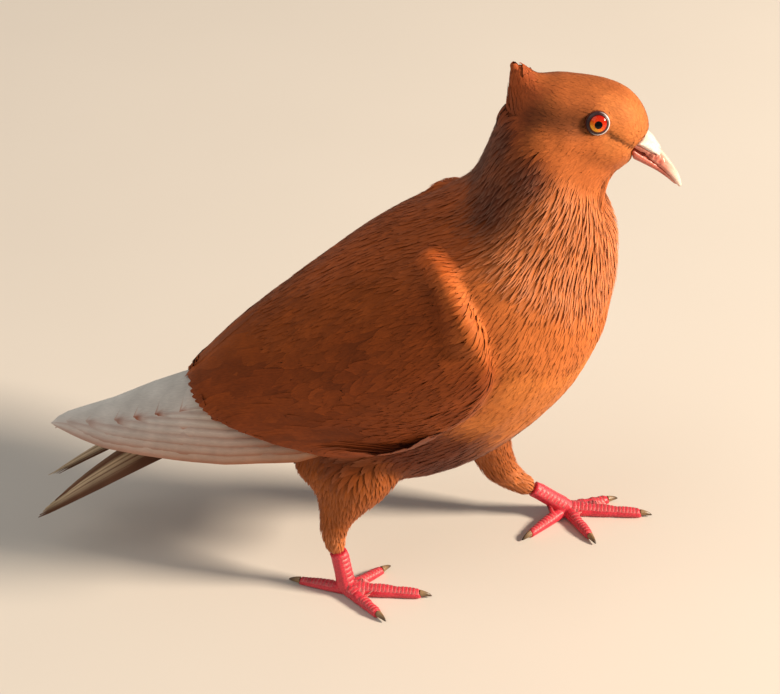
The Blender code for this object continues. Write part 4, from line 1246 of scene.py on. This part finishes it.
def make_eye(side, material):
    """An eyeball with a bulging clear front, its iris drawn from the eye's axis."""
    bpy.ops.object.select_all(action="DESELECT")
    bpy.ops.mesh.primitive_uv_sphere_add(segments=64, ring_count=40, radius=EYE_RADIUS * MM)
    eye = bpy.context.active_object
    eye.name = f"{side_name(side)}_eyeball"
    bpy.ops.object.mode_set(mode="EDIT")
    bpy.ops.mesh.select_all(action="DESELECT")
    shape = bmesh.from_edit_mesh(eye.data)
    for vertex in shape.verts:
        reach = math.hypot(vertex.co.x, vertex.co.y) / MM
        vertex.select_set(vertex.co.z > 0 and reach < IRIS)
    shape.select_flush(True)
    bmesh.update_edit_mesh(eye.data)
    bpy.ops.transform.resize(value=(1.0, 1.0, CORNEA_BULGE), center_override=(0, 0, 0))
    bpy.ops.object.mode_set(mode="OBJECT")
    layer = eye.data.uv_layers.new(name="Iris")
    for loop in eye.data.loops:
        spot = eye.data.vertices[loop.vertex_index].co / MM
        height = spot.y + (0.0 if spot.z > 0 else REAR_SHIFT)
        layer.data[loop.index].uv = (0.5 - side * spot.x / EYE_UV_SPAN, 0.5 + height / EYE_UV_SPAN)
    modify(eye, "SUBSURF", levels=1, render_levels=1)
    eye.data.transform(eye_frame(side))
    dress_piece(eye, material, "eye", f"{side_name(side)}_eye")


def lid_height(radius, over):
    """How high a ring of the lids stands: over the eyeball, or over the eye's middle outside it."""
    return math.sqrt(max(EYE_RADIUS**2 - radius**2, 0.0)) + over


def make_lids(side, material):
    """Upper and lower lid as one wrinkled ring let into the face."""
    bpy.ops.object.select_all(action="DESELECT")
    before = LID_PROFILE[0]
    bpy.ops.mesh.primitive_circle_add(vertices=72, radius=before[0] * MM, location=(0, 0, 0))
    ring = bpy.context.active_object
    ring.name = f"{side_name(side)}_eyelids"
    bpy.ops.object.mode_set(mode="EDIT")
    bpy.ops.mesh.select_all(action="SELECT")
    bpy.ops.transform.translate(value=(0, 0, lid_height(*before) * MM))
    for spot in LID_PROFILE[1:]:
        rise = (lid_height(*spot) - lid_height(*before)) * MM
        bpy.ops.mesh.extrude_edges_move(TRANSFORM_OT_translate={"value": (0, 0, rise)})
        share = spot[0] / before[0]
        bpy.ops.transform.resize(value=(share, share, 1.0), center_override=(0, 0, 0))
        before = spot
    bpy.ops.mesh.select_all(action="DESELECT")
    bpy.ops.mesh.select_non_manifold(extend=False)
    bpy.ops.mesh.bridge_edge_loops()
    bpy.ops.mesh.select_all(action="SELECT")
    bpy.ops.mesh.normals_make_consistent(inside=False)
    bpy.ops.object.mode_set(mode="OBJECT")
    modify(ring, "SUBSURF", levels=1, render_levels=1)
    points = coordinates(ring.data) / MM
    reach = np.hypot(points[:, 0], points[:, 1])
    turn = np.arctan2(points[:, 1], points[:, 0])
    # The lids' crest catches the light in front; towards the feathers the skin turns brown.
    front = np.clip(0.4 + 1.2 * np.cos(turn - LID_BRIGHT_TURNS[side]), 0, 1)
    bright = np.clip(1.3 - np.abs(reach - 4.0) / 0.17, 0, 1) * front
    tints = mix(mix(paint(LID_DARK), paint(LID_PALE), bright), paint(LID_RIM), ramp(reach, 4.2, 0.15))
    put_tint(ring.data, tints * (0.94 + 0.06 * np.sin(turn * 23))[:, None])
    ring.data.transform(eye_frame(side))
    dress_piece(ring, material, "eye")


# ---------------- bill, cere, claws

BILL_FILL = 0.42  # what the smoothing takes off the bill, put back
LOWER_BILL_WIDER, LOWER_BILL_RAISED = 0.14, 0.8
# how far painted shade darkens the lower bill under the upper bill's overhang, in red, green and blue
LOWER_BILL_SHADE = (0.74, 0.50, 0.46)
NOSTRIL = ((66.2, 194.6), (68.6, 194.0), (70.8, 192.6), (72.4, 191.0))
NOSTRIL_Y, NOSTRIL_REACH, NOSTRIL_DEPTH = 4.6, 1.5, 0.8
CERE_SWELL = (67.5, 3.8, 196.4)  # the middle of the cere's left half
SWELL_REACH, SWELL_HEIGHT, CERE_FURROW = 4.5, 0.5, 0.45
BILL_FLESH, BILL_PALE, NOSTRIL_RED = "#CE8270", "#EBD0C2", "#A8322A"
CERE_CHALK, CERE_ROSE = "#E2D5CE", "#CC9084"
CLAW_PALE, CLAW_DARK = "#8A7050", "#2E221A"


def swelling(points, place, reach, height):
    """How far points near a place stand out, falling away smoothly over reach."""
    distance = np.linalg.norm(points - np.array(place), axis=1)
    return height * np.clip(1 - (distance / reach) ** 2, 0, 1) ** 2


def make_bill():
    """Hooked upper bill with its nostril grooves, and the lower bill, darkened by painted shade."""
    horn = horn_finish("bill_horn_pink", 0.34, 900.0)
    for node in ("upper_bill", "lower_bill"):
        piece = fine_copy(f"{node}_horn", [node], 0.32, 5)
        points = to_table(coordinates(piece.data))
        x, y, z = points.T
        ridge = ramp(2.2 - np.abs(y), 0, 1.4) * ramp(vertex_normals(piece.data)[:, 2], 0.2, 0.4)
        tints = mix(paint(BILL_FLESH), paint(BILL_PALE), np.maximum(ramp(x, 74.5, 5.0), ridge * 0.9))
        move = np.full(len(points), BILL_FILL)
        shift = 0.0
        if node == "lower_bill":
            # The lower bill darkened by painted shade.
            tints = tints * np.array(LOWER_BILL_SHADE)
            shift = np.stack([0 * y, y * LOWER_BILL_WIDER, np.full(len(y), LOWER_BILL_RAISED)], -1) * MM
        else:
            for spot_x, spot_z in NOSTRIL:
                near = np.abs(np.abs(y) - NOSTRIL_Y) < 3.5
                flat = np.stack([x, 0 * y, z], -1)
                move -= near * swelling(flat, (spot_x, 0.0, spot_z), NOSTRIL_REACH, NOSTRIL_DEPTH)
            tints = mix(tints, paint(NOSTRIL_RED), -move * 2.2)
        push_out(piece, np.maximum(move, -NOSTRIL_DEPTH), shift)
        put_tint(piece.data, tints)
        dress_piece(piece, horn, "bill", node)


def make_cere():
    """The swollen cere, parted by a furrow along its middle."""
    cere = fine_copy("cere_skin", ["cere"], 0.30, 8)
    points = to_table(coordinates(cere.data))
    x, y, z = CERE_SWELL
    swell = sum(swelling(points, (x, y * side, z), SWELL_REACH, SWELL_HEIGHT) for side in (1, -1))
    top = np.clip((vertex_normals(cere.data)[:, 2] - 0.1) * 2, 0, 1)
    swell -= CERE_FURROW * np.exp(-((points[:, 1] / 0.7) ** 2)) * top
    push_out(cere, swell)
    low = np.clip((195.0 - points[:, 2]) / 2.5 + 0.2, 0, 1)
    put_tint(cere.data, mix(paint(CERE_CHALK), paint(CERE_ROSE), low * 0.6))
    dress_piece(cere, horn_finish("cere_chalky_skin", 0.62, 1300.0), "cere", "cere")


def make_claws():
    """Curved claws, pale horn at the root and dark at the point."""
    horn = horn_finish("claw_horn", 0.36, 1100.0)
    for node in sorted(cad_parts):
        if not node.endswith("_claw"):
            continue
        claw = fine_copy(f"{node}_horn", [node], 0.24, 3)
        points = to_table(coordinates(claw.data))
        start_x, start_y = FOOT_PLANS[node.split("_")[0]][0]
        reach = np.hypot(points[:, 0] - start_x, points[:, 1] - start_y)
        share = (reach - reach.min()) / np.ptp(reach)
        put_tint(claw.data, mix(paint(CLAW_PALE), paint(CLAW_DARK), share * 1.5 - 0.45))
        dress_piece(claw, horn, "claw", node)


# ---------------- plates on the legs and toes

FLOOR_LEVEL = -2.7  # where the floor lies in the tables
# Feet: where the toes meet, each toe's bearing in degrees, length and root radius, and the shank's top.
FOOT_PLANS = {
    "right": (
        (-40.2, -26.0), ((-44, 19.5, 2.9), (0, 30.0, 3.1), (46, 19.0, 2.7), (168, 20.5, 2.6)),
        (-43.8, -23.8, 17.3),
    ),
    "left": (
        (48.2, 33.2), ((26, 20.0, 2.9), (1, 32.0, 3.1), (-58, 19.5, 2.8), (229, 23.0, 2.7)),
        (33.4, 29.8, 12.4),
    ),
}
# Along a plate: where its rows lie, in plates, and how high they stand, as a share of its height.
PLATE_ROWS = ((-0.53, -0.12), (-0.36, 0.7), (0.1, 1.0), (0.40, 0.75), (0.52, -0.12))
PLATE_HEIGHT = 0.30
# On the toes: how far apart the plates lie, how far round they reach in radians, where the first one
# lies, how far short of the claw they end, how much the toe narrows, and how high its middle lies in radii.
TOE_PITCH, TOE_SPREAD, TOE_START, TOE_END, TOE_TAPER, TOE_MIDDLE = 1.75, 1.25, 3.2, 0.4, 0.38, 0.82
# On the shanks: the same, the shank's radius, how far aside each row lies, and how much one row is lower.
SHANK_PITCH, SHANK_SPREAD, SHANK_START, SHANK_END = 2.1, 0.60, 1.0, 2.5
SHANK_RADIUS, SHANK_TURN, SHANK_STAGGER = 3.4, 0.62, 0.9
ANKLE_HEIGHT = 3.5  # how far over the floor level a shank meets its toes
PLATE_RED, PLATE_RIM = "#D42C42", "#E8A09C"
# How much of the rim's colour each row and each column of a plate takes.
PALE_ALONG, PALE_ACROSS = (1.0, 0.30, 0.0, 0.12, 0.8), (0.5, 0.1, 0, 0, 0, 0.1, 0.5)


def plate_grid(tree, centre, along, up, pitch, spread, columns, size):
    """One plate wrapped over a toe or shank, its rows along it; None where it finds no skin."""
    across = np.cross(up, along)
    grid, shade = [], []
    for shift, share in PLATE_ROWS:
        line, normals = [], []
        for turn in np.linspace(-spread, spread, columns):
            out = up * math.cos(turn) + across * math.sin(turn)
            start = centre + along * shift * pitch + out * size * 3
            hit, _, _, distance = tree.ray_cast(start.tolist(), (-out).tolist())
            if hit is None or distance > size * 3:
                return None
            rim = 1.0 - (abs(turn) / spread) ** 4
            lift = PLATE_HEIGHT * (share * rim - (1 - rim) * 0.4)
            line.append(np.array(hit) + out * lift)
            normals.append(unit(out + along * shift * 0.9))
        grid.append(line)
        shade.append(normals)
    return np.array(grid), np.array(shade)


def toe_plates(tree, root_x, root_y, bearing, length, radius):
    """The plates over one toe, from its root out."""
    turn = math.radians(bearing)
    along = np.array((math.cos(turn), math.sin(turn), 0.0))
    plates = []
    reach = TOE_START
    while reach < length - TOE_END:
        share = reach / length
        size = radius * (1 - TOE_TAPER * share)
        centre = np.array((root_x, root_y, FLOOR_LEVEL + size * TOE_MIDDLE)) + along * reach
        pitch = TOE_PITCH * (1 - 0.18 * share)
        up = np.array((0.0, 0.0, 1.0))
        plates.append(plate_grid(tree, centre, along, up, pitch, TOE_SPREAD, 7, size))
        reach += pitch
    return plates


def shank_plates(tree, foot, top):
    """Two rows of plates down the front of one shank, each widened from five columns to seven."""
    along = unit(foot - top)
    face = unit(np.array((1.0, 0.0, 0.0)) - along * along[0])
    plates = []
    reach = SHANK_START
    while reach < np.linalg.norm(foot - top) - SHANK_END:
        for turn in (-SHANK_TURN, SHANK_TURN):
            up = face * math.cos(turn) + np.cross(along, face) * math.sin(turn)
            centre = top + along * (reach + (turn > 0) * SHANK_STAGGER)
            plate = plate_grid(tree, centre, along, up, SHANK_PITCH, SHANK_SPREAD, 5, SHANK_RADIUS)
            if plate is not None:
                grid, shade = plate
                second = grid[:, :1] * 0.3 + grid[:, 1:2] * 0.7
                sixth = grid[:, 3:4] * 0.7 + grid[:, 4:] * 0.3
                grid = np.concatenate([grid[:, :1], second, grid[:, 1:4], sixth, grid[:, 4:]], 1)
                plate = grid, np.concatenate([shade[:, :1], shade, shade[:, 4:]], 1)
            plates.append(plate)
        reach += SHANK_PITCH
    return plates


def make_scutes(bare, rng, material):
    """Overlapping crimson plates over the toes and down the front of each shank."""
    plates = []
    for (root_x, root_y), toes, top in FOOT_PLANS.values():
        for toe in toes:
            plates += toe_plates(bare.tree, root_x, root_y, *toe)
        ankle = np.array((root_x, root_y, FLOOR_LEVEL + ANKLE_HEIGHT))
        plates += shank_plates(bare.tree, ankle, np.array(top))
    found = [plate for plate in plates if plate is not None]
    grid, shade = (np.array(arrays) for arrays in zip(*found))
    edge = np.array(PALE_ALONG)[:, None] + np.array(PALE_ACROSS)[None]
    uneven = 1 + rng.normal(0, 0.07, len(grid))
    tint = mix(paint(PLATE_RED), paint(PLATE_RIM), edge)[None] * uneven[:, None, None, None]
    vane = np.zeros(grid.shape[:3] + (2,))
    vane[..., 0] = np.linspace(-2, 2, 7)
    vane[..., 1] = np.linspace(0, 1.7, 5)[:, None]
    batch = (grid, shade, vane, tint, bake_spots(bare, grid[:, 2, 3]))
    closed_grids("leg_scutes", [batch], material, "foot_skin")


# ---------------- stage

FLOOR_TONES = ("#D6D3CD", "#DCD9D3")
# Lights: name, place, width, power in watts and colour. Each faces the middle of the bird.
LIGHTS = (
    ("key_light", (2.34, -0.31, 1.42), 0.5, 135.0, "#FFE8CE"),
    ("fill_light", (-1.3, -1.0, 2.5), 2.0, 15.0, "#FFF4E8"),
)
LIGHT_AIM = (0.0, 0.0, 0.10)
SKY_COLOUR, SKY_STRENGTH = "#F4EFE9", 0.31
CAMERA_PLACE = (0.0721, -0.6228, 0.5347)
CAMERA_TURN = (math.radians(55.5), 0.0, math.radians(5.0))
LENS, SENSOR = 90.07, 36.0


def make_stage():
    """A pale floor, a soft key from the front right, a broad fill, a pale sky and the camera."""
    scene = bpy.context.scene
    bpy.ops.mesh.primitive_plane_add(size=8.0, location=(0, 0, 0))
    floor = bpy.context.active_object
    floor.name = "studio_floor"
    # Matt paint with broad, barely visible unevenness.
    material, tree, shader, place = new_material("matt_floor_paint", Roughness=0.9, Specular_IOR_Level=0.2)
    tones = colour_ramp(tree, noise(tree, place, 6.0, 2.0), tuple(zip((0.0, 1.0), FLOOR_TONES)))
    tree.links.new(tones, shader.inputs["Base Color"])
    floor.data.materials.append(material)
    for name, spot, size, power, colour in LIGHTS:
        light = bpy.data.lights.new(name, "AREA")
        light.energy = power
        light.size = size
        light.color = linear(colour)[:3]
        lamp = bpy.data.objects.new(name, light)
        lamp.location = spot
        lamp.rotation_euler = (Vector(LIGHT_AIM) - Vector(spot)).to_track_quat("-Z", "Y").to_euler()
        scene.collection.objects.link(lamp)
    scene.world = bpy.data.worlds.new("pale_sky")
    scene.world.use_nodes = True
    sky = scene.world.node_tree.nodes["Background"].inputs
    sky["Color"].default_value = linear(SKY_COLOUR)
    sky["Strength"].default_value = SKY_STRENGTH
    camera_data = bpy.data.cameras.new("camera")
    camera_data.lens = LENS
    camera_data.sensor_width = SENSOR
    camera = bpy.data.objects.new("camera", camera_data)
    camera.location = CAMERA_PLACE
    camera.rotation_euler = CAMERA_TURN
    scene.collection.objects.link(camera)
    scene.camera = camera
    scene.view_settings.view_transform = "Standard"


# ---------------- making the bird

eye_material = eyeball_finish()
lid_material = lid_finish()
for side in (-1, 1):
    make_eye(side, eye_material)
    make_lids(side, lid_material)
make_bill()
make_cere()
make_claws()
random_numbers = np.random.default_rng(SEED)
make_stage()
skin = make_skin()
surface = Surface(skin.data, 0)
vane_material = feather_vane("feather_vane_barbed", 0.80, 1.16)
flight_material = feather_vane("flight_feather_vane", 0.92, 1.06)
grow_coat(surface, random_numbers, vane_material)
grow_crest(surface, random_numbers, vane_material)
grow_tail(surface, random_numbers, flight_material)
for side in (-1, 1):
    grow_primaries(surface, side, random_numbers, flight_material)
    grow_secondaries(surface, side, random_numbers, vane_material)
make_scutes(Surface(skin.data, 1), random_numbers, skin.data.materials[1])
